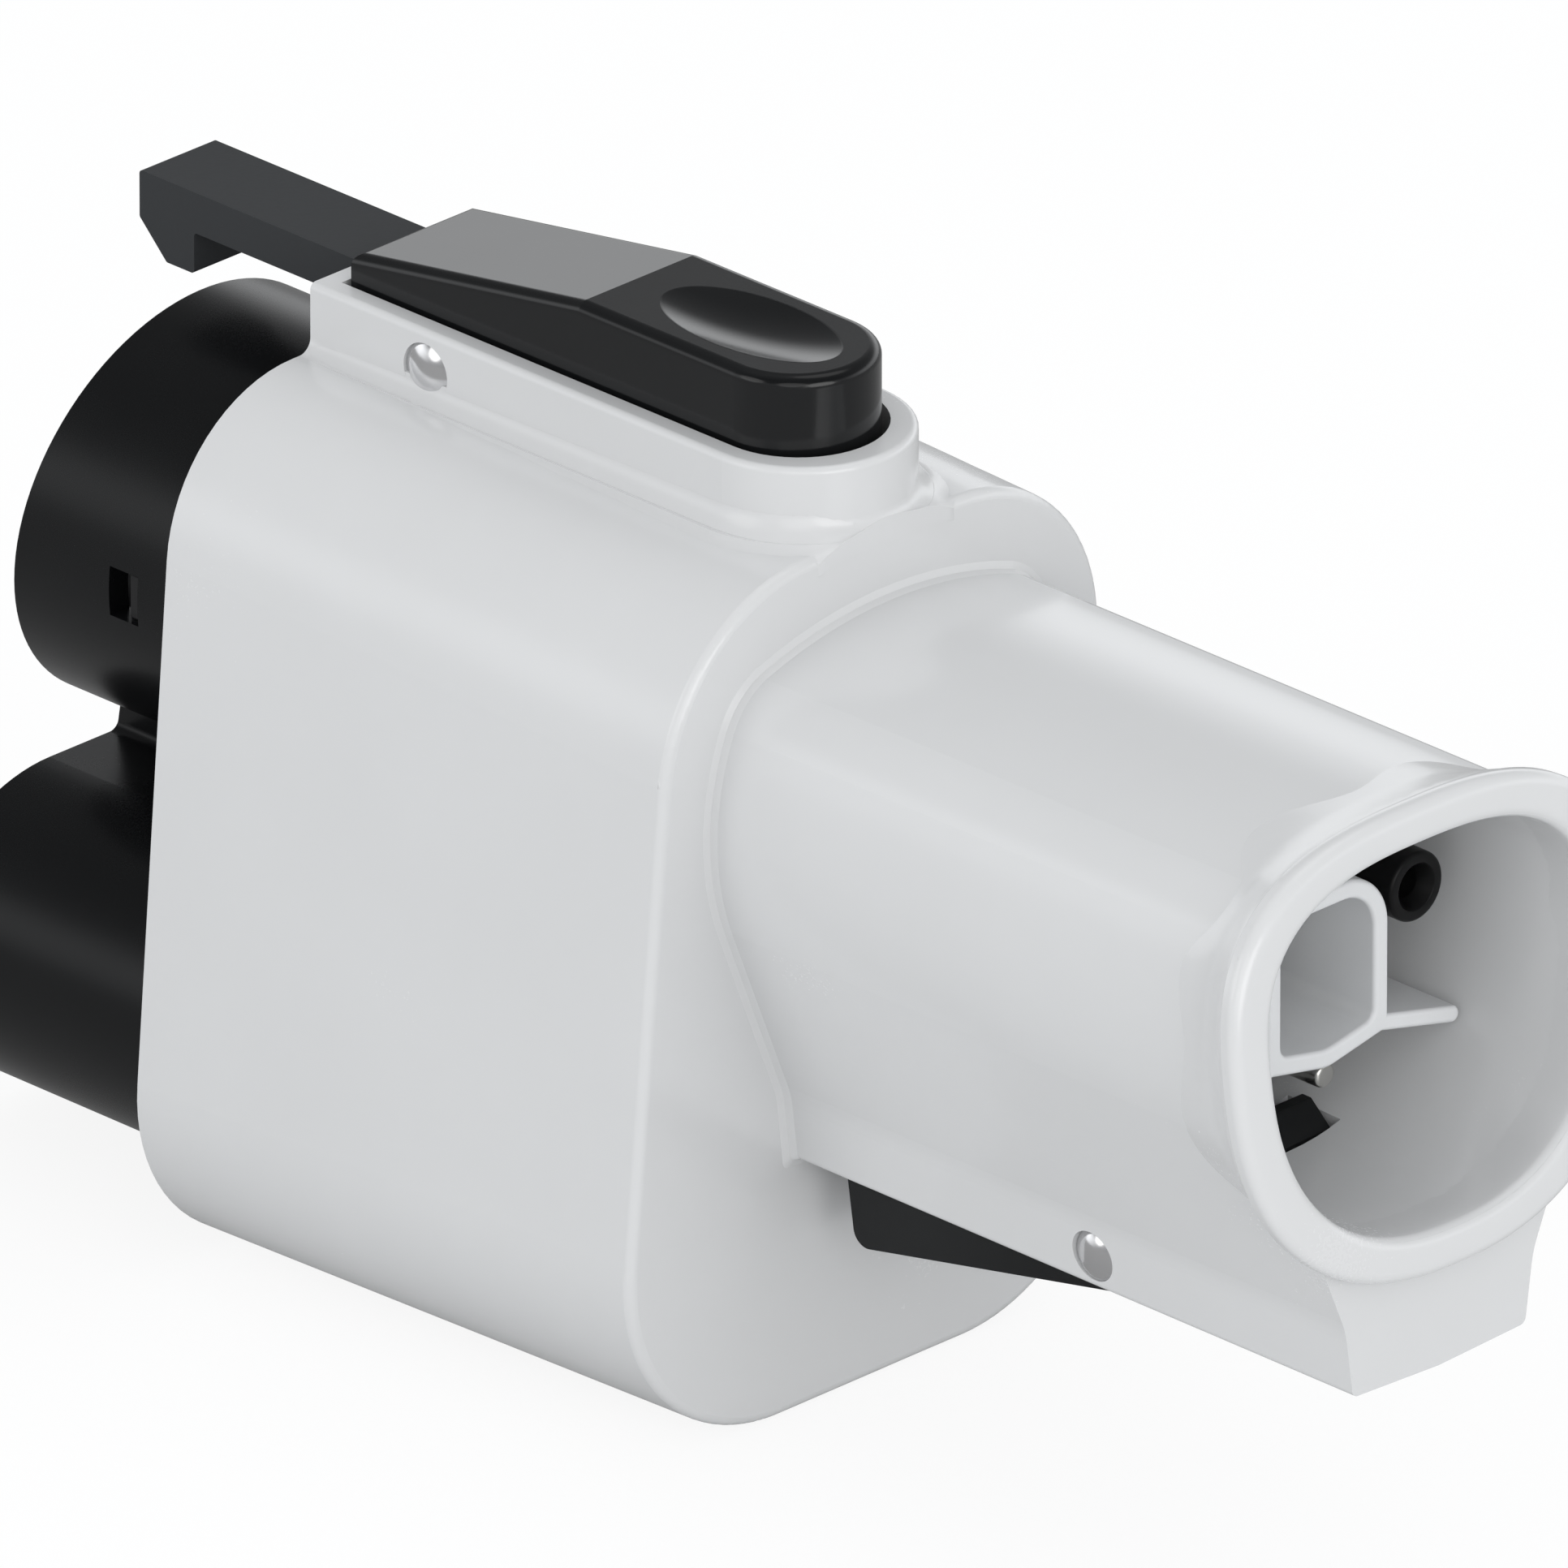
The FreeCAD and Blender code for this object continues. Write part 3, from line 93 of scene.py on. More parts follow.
class Graph:
    # one node tree, cleared and ready for a finish
    def __init__(self, tree):
        self.tree = tree
        tree.nodes.clear()

    def node(self, kind, settings=None, inputs=None, out=0):
        made = self.tree.nodes.new(kind)
        for key, value in (settings or {}).items():
            if key == "stops":
                self.stops(made, value)
            else:
                setattr(made, key, value)
        for key, value in (inputs or {}).items():
            if isinstance(value, Sock):
                self.tree.links.new(value.socket, made.inputs[key])
            else:
                made.inputs[key].default_value = value
        if not made.outputs:
            return made
        return Sock(self, made.outputs[out])

    def stops(self, ramp, stops):
        elements = ramp.color_ramp.elements
        while len(elements) < len(stops):
            elements.new(1.0)
        for element, (place, value) in zip(elements, stops):
            element.position = place
            element.color = (value, value, value, 1.0)

    def math(self, operation, a, b):
        return self.node("ShaderNodeMath", {"operation": operation}, {0: a, 1: b})

    def separate(self, vector):
        return [self.node("ShaderNodeSeparateXYZ", None, {0: vector}, i) for i in range(3)]

    def place(self):
        return self.node("ShaderNodeTexCoord", out="Object")

    def noise(self, scale, detail=2.0, rough=0.5, stretch=(1, 1, 1)):
        # scale is in cells per metre of the object
        spot = self.node("ShaderNodeMapping", {"vector_type": "POINT"}, {0: self.place(), 3: stretch})
        inputs = {"Vector": spot, "Scale": scale, "Detail": detail, "Roughness": rough}
        return self.node("ShaderNodeTexNoise", None, inputs)

    def ramp(self, value, stops):
        return self.node("ShaderNodeValToRGB", {"stops": stops}, {0: value})

    def mix(self, factor, a, b):
        # colours a and b mixed by factor
        return self.node("ShaderNodeMix", {"data_type": "RGBA"}, {0: factor, 6: a, 7: b}, 2)

    def bump(self, height, strength):
        settings = {"Strength": strength, "Distance": surfaceSet["bumpHeight"], "Height": height}
        return self.node("ShaderNodeBump", None, settings)


def rgba(colour):
    return (colour[0], colour[1], colour[2], 1.0)


def shaded(colour, share):
    return rgba([c * share for c in colour])


# what a user would change in each finish; colours are linear
finishes = {
    "whiteShell": dict(
        colour=(0.662, 0.667, 0.672), vary=0.03, rough=(0.22, 0.3), coat=0.35, coatRough=0.12,
        grain=2600.0, grainDeep=0.003, mottle=38.0, spec=0.5,
    ),
    "whiteInlet": dict(
        colour=(0.74, 0.75, 0.76), vary=0.03, rough=(0.36, 0.5), coat=0.0, coatRough=0.2,
        grain=1700.0, grainDeep=0.05, mottle=60.0, spec=0.45,
    ),
    "blackNose": dict(
        colour=(0.0052, 0.0056, 0.0062), vary=0.25, rough=(0.24, 0.30), coat=0.0, coatRough=0.2,
        grain=2400.0, grainDeep=0.015, mottle=55.0, spec=0.28,
    ),
    "blackInsulator": dict(
        colour=(0.012, 0.012, 0.013), vary=0.25, rough=(0.45, 0.6), coat=0.0, coatRough=0.2,
        grain=1500.0, grainDeep=0.05, mottle=60.0, spec=0.4,
    ),
    "blackLever": dict(
        colour=(0.0062, 0.0066, 0.0072), vary=0.2, rough=(0.13, 0.19), coat=0.0, coatRough=0.06,
        grain=2600.0, grainDeep=0.004, mottle=50.0, spec=0.46,
    ),
    "greyArm": dict(
        colour=(0.035, 0.0375, 0.0405), vary=0.12, rough=(0.55, 0.66), coat=0.0, coatRough=0.3,
        grain=1900.0, grainDeep=0.06, mottle=70.0, spec=0.25,
    ),
    "blackRelease": dict(
        colour=(0.0068, 0.0074, 0.0082), vary=0.2, rough=(0.32, 0.42), coat=0.0, coatRough=0.2,
        grain=2100.0, grainDeep=0.03, mottle=70.0, spec=0.28,
    ),
    "blackCap": dict(
        colour=(0.0035, 0.0035, 0.0038), vary=0.2, rough=(0.30, 0.42), coat=0.0, coatRough=0.2,
        grain=2500.0, grainDeep=0.02, mottle=120.0, spec=0.2,
    ),
    "sealRubber": dict(
        colour=(0.018, 0.018, 0.019), vary=0.3, rough=(0.7, 0.85), coat=0.0, coatRough=0.2,
        grain=1600.0, grainDeep=0.12, mottle=90.0, spec=0.3,
    ),
    "leadGreen": dict(
        colour=(0.07, 0.24, 0.05), vary=0.15, rough=(0.4, 0.55), coat=0.0, coatRough=0.2,
        grain=1200.0, grainDeep=0.05, mottle=120.0, spec=0.4,
    ),
    "leadGrey": dict(
        colour=(0.24, 0.24, 0.25), vary=0.12, rough=(0.4, 0.55), coat=0.0, coatRough=0.2,
        grain=1200.0, grainDeep=0.05, mottle=120.0, spec=0.4,
    ),
    "leadBlue": dict(
        colour=(0.04, 0.12, 0.33), vary=0.15, rough=(0.4, 0.55), coat=0.0, coatRough=0.2,
        grain=1200.0, grainDeep=0.05, mottle=120.0, spec=0.4,
    ),
}

metals = {
    "polishedPin": dict(colour=(0.80, 0.80, 0.81), rough=(0.12, 0.2), turned=2200.0, deep=0.012, stain=0.1),
    "platedContact": dict(
        colour=(0.74, 0.73, 0.70), rough=(0.2, 0.3), turned=2600.0, deep=0.03, stain=0.15,
    ),
    "zincScrew": dict(colour=(0.55, 0.56, 0.58), rough=(0.3, 0.42), turned=1800.0, deep=0.05, stain=0.2),
    "springWire": dict(colour=(0.46, 0.46, 0.48), rough=(0.25, 0.35), turned=2400.0, deep=0.05, stain=0.2),
    "copperBar": dict(colour=(0.72, 0.36, 0.21), rough=(0.28, 0.4), turned=1600.0, deep=0.05, stain=0.35),
}


# shared by all finishes: bump height in metres, how much of the gloss follows the mottle,
# and the cells per metre of the stain on metal
surfaceSet = dict(bumpHeight=0.0002, mottleShare=0.65, stainScale=140.0)


def mouldedPlastic(name, f):
    # moulded plastic: slight mottle in colour and gloss, a very fine grain as bump
    material = bpy.data.materials.new(name)
    material.use_nodes = True
    g = Graph(material.node_tree)
    mottle = g.noise(f["mottle"], 3.0, 0.55)
    fine = g.noise(f["grain"], 2.0, 0.6)
    colour = g.mix(mottle, shaded(f["colour"], 1 - f["vary"]), shaded(f["colour"], 1 + f["vary"]))
    low, high = f["rough"]
    share = surfaceSet["mottleShare"]
    rough = low + (high - low) * (share * mottle + (1 - share) * fine)
    bump = g.bump(fine, f["grainDeep"])
    surface = g.node(
        "ShaderNodeBsdfPrincipled",
        None,
        {
            "Base Color": colour,
            "Roughness": rough,
            "Specular IOR Level": f["spec"],
            "Coat Weight": f["coat"],
            "Coat Roughness": f["coatRough"],
            "Normal": bump,
        },
    )
    g.node("ShaderNodeOutputMaterial", None, {"Surface": surface})
    return material


def turnedMetal(name, f):
    # metal with fine turning marks round X and a faint stain
    material = bpy.data.materials.new(name)
    material.use_nodes = True
    g = Graph(material.node_tree)
    marks = g.noise(f["turned"], 2.0, 0.6, (1.0, 0.12, 0.12))
    stain = g.noise(surfaceSet["stainScale"], 3.0, 0.6)
    colour = g.mix(stain, shaded(f["colour"], 1 - f["stain"]), shaded(f["colour"], 1.05))
    low, high = f["rough"]
    rough = low + (high - low) * (0.5 * marks + 0.5 * stain)
    bump = g.bump(marks, f["deep"])
    surface = g.node(
        "ShaderNodeBsdfPrincipled",
        None,
        {"Base Color": colour, "Metallic": 1.0, "Roughness": rough, "Normal": bump},
    )
    g.node("ShaderNodeOutputMaterial", None, {"Surface": surface})
    return material


made = {name: mouldedPlastic(name, f) for name, f in finishes.items()}
made.update({name: turnedMetal(name, f) for name, f in metals.items()})
print("finishes made:", len(made))

nodeFinish = {
    "housing_shell": "whiteShell", "inlet_base": "whiteInlet", "inlet_shroud": "whiteInlet",
    "plug_nose": "blackNose", "ac_contact_block": "blackInsulator",
    "ac_contact_silos": "blackInsulator", "dc_contact_block": "blackInsulator", "plug_gasket": "sealRubber",
    "plug_screws": "zincScrew", "carrier_screws": "zincScrew", "arm_screws": "zincScrew",
    "busbar_nuts": "zincScrew", "latch_pivot_pin": "polishedPin",
    "release_pivot_pin": "polishedPin", "latch_spring": "springWire",
    "release_spring": "springWire", "thumb_lever": "blackLever", "hook_arm": "greyArm",
    "release_lever": "blackRelease", "ground_lead": "leadGreen", "pilot_lead": "leadGrey",
    "proximity_lead": "leadBlue",
}
for part in ("dc_socket_positive", "dc_socket_negative", "ground_socket", "pilot_socket",
             "proximity_socket", "dc_pin_positive", "dc_pin_negative", "ground_pin",
             "pilot_pin", "proximity_pin"):
    nodeFinish[part] = "platedContact"
for part in ("dc_pin_cap_positive", "dc_pin_cap_negative"):
    nodeFinish[part] = "blackCap"
for part in ("busbar_positive", "busbar_negative"):
    nodeFinish[part] = "copperBar"

for name, node in nodes.items():
    node.data.materials.clear()
    node.data.materials.append(made[nodeFinish[name]])

# round pieces: a profile turned about an axis, or a round wire along a path
sharpAngle = 38  # degrees; flatter edges are smooth
roundSteps = dict(cap=56, pin=56, dome=14, contact=40, screw=48)


def addPiece(name, points, faces, body, finish, stands=()):
    mesh = bpy.data.meshes.new(name)
    mesh.from_pydata(points.tolist(), [], faces)
    mesh.polygons.foreach_set("use_smooth", [True] * len(mesh.polygons))
    mesh.set_sharp_from_angle(angle=math.radians(sharpAngle))
    mesh.materials.append(made[finish])
    piece = bpy.data.objects.new(name, mesh)
    bpy.context.scene.collection.objects.link(piece)
    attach(piece, body)
    if stands:
        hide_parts(*stands)
    return piece


def softCorners(points, radii, steps=5):
    # profile whose corner i is a tangent arc of radii[i]; 0 keeps the corner
    points = np.array(points, float)
    out = []
    for i, spot in enumerate(points):
        if not radii[i]:
            out.append(spot[None])
            continue
        before = points[i - 1] - spot
        after = points[i + 1] - spot
        before = before / np.linalg.norm(before)
        after = after / np.linalg.norm(after)
        half = math.acos(float(np.clip(before @ after, -1, 1))) / 2
        back = radii[i] / math.tan(half)
        start, end = spot + before * back, spot + after * back
        middle = spot + (before + after) / np.linalg.norm(before + after) * radii[i] / math.sin(half)
        a, b = start - middle, end - middle
        share = np.linspace(0, 1, steps + 1)[:, None]
        angle = math.pi - 2 * half
        out.append(middle + (np.sin((1 - share) * angle) * a + np.sin(share * angle) * b) / math.sin(angle))
    return np.concatenate(out)


def gridFaces(rows, columns, wrap, first=0):
    # quads of a grid stored row by row, closed round each row if wrap
    i, j = np.meshgrid(np.arange(rows - 1), np.arange(columns if wrap else columns - 1), indexing="ij")
    a = first + i * columns + j
    b = first + i * columns + (j + 1) % columns
    return np.stack([a, b, b + columns, a + columns], -1).reshape(-1, 4).tolist()


def turned(profile, centre, axis, steps, lobes=0.0, lobeRows=()):
    # point(along, turn) = centre + along*axis + r*(1 + lobes*cos 6*turn)*(cos turn, sin turn);
    # the profile is (along, r) pairs that start and end on the axis, in mm
    profile = np.array(profile, float) * mm
    turn = np.linspace(0, 2 * np.pi, steps, endpoint=False)
    along = profile[1:-1, :1] + 0 * turn
    radius = profile[1:-1, 1:] + 0 * turn
    rows = np.zeros((len(profile) - 2, 1))
    rows[[r - 1 for r in lobeRows]] = 1.0
    radius = radius * (1 + lobes * rows * np.cos(6 * turn))
    if axis == "X":
        points = np.stack([along, radius * np.cos(turn), radius * np.sin(turn)], -1)
        pole = np.array([1.0, 0, 0])
    else:
        points = np.stack([radius * np.sin(turn), along, radius * np.cos(turn)], -1)
        pole = np.array([0, 1.0, 0])
    points = np.concatenate([points.reshape(-1, 3), profile[[0, -1], :1] * pole])
    count = len(profile) - 2
    faces = gridFaces(count, steps, True)
    ring = np.arange(steps)
    start, end = count * steps, count * steps + 1
    faces += np.stack([ring * 0 + start, (ring + 1) % steps, ring], -1).tolist()
    last = (count - 1) * steps
    faces += np.stack([ring * 0 + end, last + ring, last + (ring + 1) % steps], -1).tolist()
    faces = [f[::-1] for f in faces]
    return points + np.array(centre), faces


def merged(parts):
    # several (points, faces) as one
    allPoints, allFaces, shift = [], [], 0
    for points, faces in parts:
        allPoints.append(points)
        allFaces += [[i + shift for i in f] for f in faces]
        shift += len(points)
    return np.concatenate(allPoints), allFaces


def centreOf(node, axis):
    # the middle of a round node's end that lies lowest along axis, and its length in mm
    low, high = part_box(node)
    way = "XYZ".index(axis)
    spot = list((low + high) / 2)
    spot[way] = low[way]
    return spot, (high[way] - low[way]) / mm


# mm: outside radius and its edge, countersink and hole with their depths
capSet = dict(radius=3.6, edge=0.4, sink=2.45, sinkDeep=1.6, hole=1.6, holeDeep=6.5)


def buildCaps():
    c = capSet
    for node in ("dc_pin_cap_positive", "dc_pin_cap_negative"):
        start, length = centreOf(node, "X")
        corners = [
            (0, 0), (0, c["radius"]), (length, c["radius"]), (length, c["sink"]),
            (length - c["sinkDeep"], c["hole"]), (length - c["holeDeep"], c["hole"]),
            (length - c["holeDeep"], 0),
        ]
        profile = softCorners(corners, [0, 0.2, c["edge"], 0.15, 0.1, 0, 0])
        points, faces = turned(profile, start, "X", roundSteps["cap"])
        addPiece(node + "_sleeve", points, faces, "housing", "blackCap", [node])


# mm: radius of each pin and height of the dome on its ends
pinSet = dict(
    latch_pivot_pin=dict(radius=2.95, dome=0.9),
    release_pivot_pin=dict(radius=2.65, dome=0.9),
)


def buildPivotPins():
    # dome: circular arc over each end of the pin
    for node, p in pinSet.items():
        start, length = centreOf(node, "Y")
        ball = (p["radius"] ** 2 + p["dome"] ** 2) / (2 * p["dome"])
        angle = np.linspace(0, math.asin(p["radius"] / ball), roundSteps["dome"])
        low = np.stack([ball - ball * np.cos(angle), ball * np.sin(angle)], -1)
        high = np.stack([length - low[::-1, 0], low[::-1, 1]], -1)
        points, faces = turned(np.concatenate([low, high]), start, "Y", roundSteps["pin"])
        addPiece(node + "_turned", points, faces, "housing", "polishedPin", [node])


# mm: boss is the x where the thin shank ends and the shank's radius; tip rounds the end
contactSet = dict(
    ground_pin=dict(boss=(125.0, 2.0), radius=3.0, tip=1.1),
    pilot_pin=dict(boss=(125.0, 1.4), radius=1.3, tip=0.45),
    proximity_pin=dict(boss=(125.0, 1.4), radius=1.3, tip=0.45),
)


def buildContacts():
    for node, c in contactSet.items():
        start, length = centreOf(node, "X")
        step, thin = c["boss"]
        step = step - start[0] / mm
        corners = [
            (0, 0), (0, thin), (step, thin), (step, c["radius"]), (length, c["radius"]), (length, 0),
        ]
        profile = softCorners(corners, [0, 0.2, 0, 0, c["tip"], 0], 7)
        points, faces = turned(profile, start, "X", roundSteps["contact"])
        addPiece(node + "_turned", points, faces, "housing", "platedContact", [node])


# mm: coil radius and wire radius; keep is the spring's share of its length at the joint's limit
springSet = dict(
    latch_spring=dict(radius=3.2, wire=0.45, turns=5.5, joint="latch_pivot", keep=0.76, onFloor=True),
    release_spring=dict(radius=2.6, wire=0.35, turns=3.5, joint="release_pivot", keep=0.33, onFloor=False),
)
wireSet = dict(perTurn=26, around=10, ease=0.12)


def buildSprings():
    # round wire on a helix: centre(t) = (R cos t, R sin t, z(t)), end turns closed by easing the pitch
    around = wireSet["around"]
    for node, c in springSet.items():
        low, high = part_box(node)
        middle = (low + high) / 2
        t = np.linspace(0, 1, int(c["turns"] * wireSet["perTurn"]))
        turn = 2 * np.pi * c["turns"] * t
        wire, radius = c["wire"] * mm, c["radius"] * mm
        span = high.z - low.z - 2 * wire
        ease = t - np.sin(2 * np.pi * t) * wireSet["ease"] / c["turns"]
        height = low.z + wire + span * ease
        centre = np.stack([middle.x + radius * np.cos(turn), radius * np.sin(turn), height], -1)
        along = np.gradient(centre, axis=0)
        along /= np.linalg.norm(along, axis=1, keepdims=True)
        out = np.stack([np.cos(turn), np.sin(turn), 0 * turn], -1)
        side = np.cross(along, out)
        ring = np.linspace(0, 2 * np.pi, around, endpoint=False)[None, :, None]
        points = centre[:, None] + wire * (np.cos(ring) * out[:, None] + np.sin(ring) * side[:, None])
        faces = gridFaces(len(t), around, True)
        faces += [list(range(around)), list(range(around * (len(t) - 1), around * len(t)))[::-1]]
        points = points.reshape(-1, 3)
        piece = addPiece(node + "_wire", points, faces, "housing", "springWire", [node])
        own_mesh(piece)


# mm: the head, its six-lobed recess, and the shank
screwSet = dict(head=2.75, tall=2.4, edge=0.5, recess=1.45, deep=1.3, lobes=0.13, shank=1.5)
# places as (y, z), the way the head faces along X, the x of its seat, and the shank's length
screwGroups = dict(
    plug_screws=dict(
        places=[(20.618, 16.419), (-20.618, 16.419), (25.221, -17.0), (-25.221, -17.0)],
        way=-1, seat=30.2, long=12.0,
    ),
    carrier_screws=dict(places=[(16.4, -3.9), (-16.4, -3.9), (0.0, 13.0)], way=1, seat=122.0, long=7.5),
)


def buildScrews():
    # pan heads with a six-lobed recess, on the CAD screws' places
    c = screwSet
    top, thin = c["tall"], c["shank"]
    for node, group in screwGroups.items():
        way, long = group["way"], group["long"]
        parts = []
        for y, z in group["places"]:
            corners = [
                (-long, 0), (-long, thin), (0, thin), (0, c["head"]), (top, c["head"]), (top, c["recess"]),
                (top - c["deep"], c["recess"]), (top - c["deep"], 0),
            ]
            profile = softCorners(corners, [0, 0.3, 0, 0, c["edge"], 0, 0, 0])
            lobed = [len(profile) - 3, len(profile) - 2]
            base = group["seat"] if way > 0 else group["seat"] + top
            spot = (base * mm, y * mm, z * mm)
            points, faces = turned(profile, (0, 0, 0), "X", roundSteps["screw"], c["lobes"], lobed)
            if way < 0:
                points = points * np.array([-1, -1, 1])
            parts.append((points + np.array(spot), faces))
        points, faces = merged(parts)
        addPiece(node + "_heads", points, faces, "housing", "zincScrew", [node])


# forms laid over the CAD solids: rolled lip of the mouth, collar fillet, thumb dish; all in mm


def closedGrid(points, finish, name, body, wrapRows):
    # points[row, column] as quads closed round the columns, and round the rows or with a cap at each end
    rows, columns = points.shape[:2]
    i, j = np.meshgrid(np.arange(rows if wrapRows else rows - 1), np.arange(columns), indexing="ij")
    a, b = i * columns + j, i * columns + (j + 1) % columns
    c, d = (i + 1) % rows * columns + (j + 1) % columns, (i + 1) % rows * columns + j
    quads = np.stack([a, b, c, d], -1).reshape(-1, 4)
    spots = points.reshape(-1, 3)
    corner = (spots - spots.mean(0))[quads]
    volume = np.einsum("ij,ij->i", corner[:, 0], np.cross(corner[:, 1], corner[:, 2])).sum()
    volume += np.einsum("ij,ij->i", corner[:, 0], np.cross(corner[:, 2], corner[:, 3])).sum()
    faces = quads.tolist()
    if not wrapRows:
        last = (rows - 1) * columns
        faces += [list(range(columns))[::-1], [last + k for k in range(columns)]]
    if volume < 0:
        faces = [f[::-1] for f in faces]
    return addPiece(name, spots * mm, faces, body, finish)


mouthSet = dict(
    plane=170.8, lean=-0.12, mid=1.5, topPower=2.7, lowPower=2.35, columns=144,
    # stations of the lip's outside and of the funnel's wall: x, half width, top, bottom
    outside=[(166.5, 25.6, 20.6, -23.9), (169.0, 27.05, 21.3, -25.0), (170.8, 27.2, 21.4, -25.1)],
    funnel=[(152.5, 20.8, 17.02, -21.5), (162.5, 21.3, 17.15, -21.4), (168.3, 22.1, 17.55, -21.2),
            (171.3, 22.6, 17.85, -21.2)],
    outerRound=1.3, innerRound=1.15, outerProud=0.1, deepEnd=160.5,
    # the outside starts tucked under the CAD lip; the funnel's wall ends sunk in the CAD wall
    tuckX=168.3, tuck=0.2, startX=169.0, sunk=0.15, fade=1.5, cornerSteps=8, wallSteps=12, firstStep=0.08,
)


def buildMouthLip():
    # each ring is |y/half|^p + |(z-mid)/reach|^p = 1 in a plane that leans with the mouth
    c = mouthSet
    outside, funnel = np.array(c["outside"]), np.array(c["funnel"])
    spare = c["innerRound"] * (1 - math.sqrt(0.5))
    front = c["plane"] + spare
    angle = np.linspace(0, math.pi / 2, c["cornerSteps"])
    rings = []

    def ring(x, table, outwards):
        size = [np.interp(x, table[:, 0], table[:, k]) for k in (1, 2, 3)]
        rings.append((x, size[0] + outwards, size[1] + outwards, size[2] - outwards))

    ring(c["tuckX"], outside, -c["tuck"])
    ring(c["startX"], outside, c["outerProud"])
    for turn in angle:
        back = c["outerRound"] * (1 - math.sin(turn))
        ring(front - back, outside, c["outerProud"] - c["outerRound"] * (1 - math.cos(turn)))
    for turn in angle:
        back = c["innerRound"] * (1 - math.cos(turn))
        inwards = spare - c["innerRound"] * (1 - math.sin(turn))
        ring(front - back, funnel, -inwards)
    for share in np.linspace(c["firstStep"], 1, c["wallSteps"]):
        x = front - c["innerRound"] + share * (c["deepEnd"] - front + c["innerRound"])
        ring(x, funnel, -spare * (1 - share) ** c["fade"] + c["sunk"] * share)
    rings = np.array(rings)[:, :, None]
    turn = np.linspace(0, 2 * np.pi, c["columns"], endpoint=False)[None]
    power = np.where(np.sin(turn) >= 0, c["topPower"], c["lowPower"])
    reach = np.where(np.sin(turn) >= 0, rings[:, 2] - c["mid"], c["mid"] - rings[:, 3])
    size = (np.abs(np.cos(turn)) ** power + np.abs(np.sin(turn)) ** power) ** (-1 / power)
    y = rings[:, 1] * np.cos(turn) * size
    z = c["mid"] + reach * np.sin(turn) * size
    points = np.stack([rings[:, 0] + c["lean"] * z, y, z], -1)
    closedGrid(points, "whiteShell", "mouth_lip", "housing", True)


filletSet = dict(
    half=11.06, rear=29.7, roundX=85.5, frontX=96.79, wide=(1.7, 3.6), growth=0.8, tight=2.6,
    endSteps=61, runSteps=46, columns=15,
    # sink, tuck and skirt bury the fillet's rims in the CAD; edge is the rounding of the hull's front
    sink=0.06, tuck=0.6, skirt=1.3, edge=1.0,
    # where the front face leaves little room the fillet ends this high above the hull
    room=(0.2, 0.33, 0.6, 0.9, 1.2, 1.5, 2.4, 3.6), rise=(1.47, 1.32, 1.07, 0.9, 0.79, 0.75, 0.5, 0.0),
    # hull's top and corner arc, rear and front
    hullX=(29.6, 96.2), top=(27.3, 26.7), arcFrom=(13.45, 10.05), arcRadius=(17.1, 19.6),
)


def buildCollarFillet():
    # concave quarter ellipse (u, v) = (wu(1-sin t), wv(1-cos t)) carried round the collar's foot
    c = filletSet
    turn = np.linspace(-np.pi / 2, np.pi / 2, c["endSteps"])
    run = np.linspace(c["rear"], c["roundX"], c["runSteps"])[:-1]
    half = c["half"]
    x = np.concatenate([run, c["roundX"] + half * np.cos(turn), run[::-1]])
    y = np.concatenate([run * 0 - half, half * np.sin(turn), run * 0 + half])
    nx = np.concatenate([run * 0, np.cos(turn), run * 0])
    ny = np.concatenate([run * 0 - 1, np.sin(turn), run * 0 + 1])
    along = (x - c["rear"]) / (c["frontX"] - c["rear"])
    tall = c["wide"][0] + (c["wide"][1] - c["wide"][0]) * np.clip(along, 0, 1) ** c["growth"]
    room = np.where(nx > 0.01, (c["frontX"] - x) / np.maximum(nx, 0.01), 99.0)
    squeezed = np.clip((c["room"][-1] - room) / (c["room"][-1] - c["room"][4]), 0, 1)
    tall = tall + (c["tight"] - tall) * squeezed
    wide = np.minimum(tall + squeezed, room)
    rise = np.interp(room, c["room"], c["rise"])[:, None]
    bend = np.linspace(0, math.pi / 2, c["columns"])[None]
    u = wide[:, None] * (1 - np.sin(bend)) - c["sink"]
    v = rise + (tall[:, None] - rise) * (1 - np.cos(bend)) - c["sink"]
    inside, under = 0 * rise - c["tuck"], 0 * rise - c["skirt"]
    u = np.concatenate([u[:, :1], u, inside, inside], 1)
    v = np.concatenate([under, v, tall[:, None], under], 1)
    px = x[:, None] + nx[:, None] * u
    py = y[:, None] + ny[:, None] * u
    top = np.interp(px, c["hullX"], c["top"])
    past = np.maximum(np.abs(py) - np.interp(px, c["hullX"], c["arcFrom"]), 0)
    arc = np.interp(px, c["hullX"], c["arcRadius"])
    # past the bead the fillet follows the rounding of the hull's front edge
    over = np.clip(px - c["frontX"] + c["edge"], 0, c["edge"])
    follow = np.clip((room - c["room"][5]) / (c["room"][-1] - c["room"][5]), 0, 1)[:, None]
    drop = (c["edge"] - np.sqrt(c["edge"] ** 2 - over ** 2)) * follow
    pz = top - (arc - np.sqrt(arc ** 2 - past ** 2)) + v - drop
    points = np.stack([px, py, pz], -1)
    closedGrid(points, "whiteShell", "collar_fillet", "housing", False)


dishSet = dict(
    centre=78.5, top=42.4, half=(11.05, 5.66), deep=1.0, under=2.7, rings=16, columns=72,
    proud=0.015, sunk=0.02, firstRing=0.03,
)


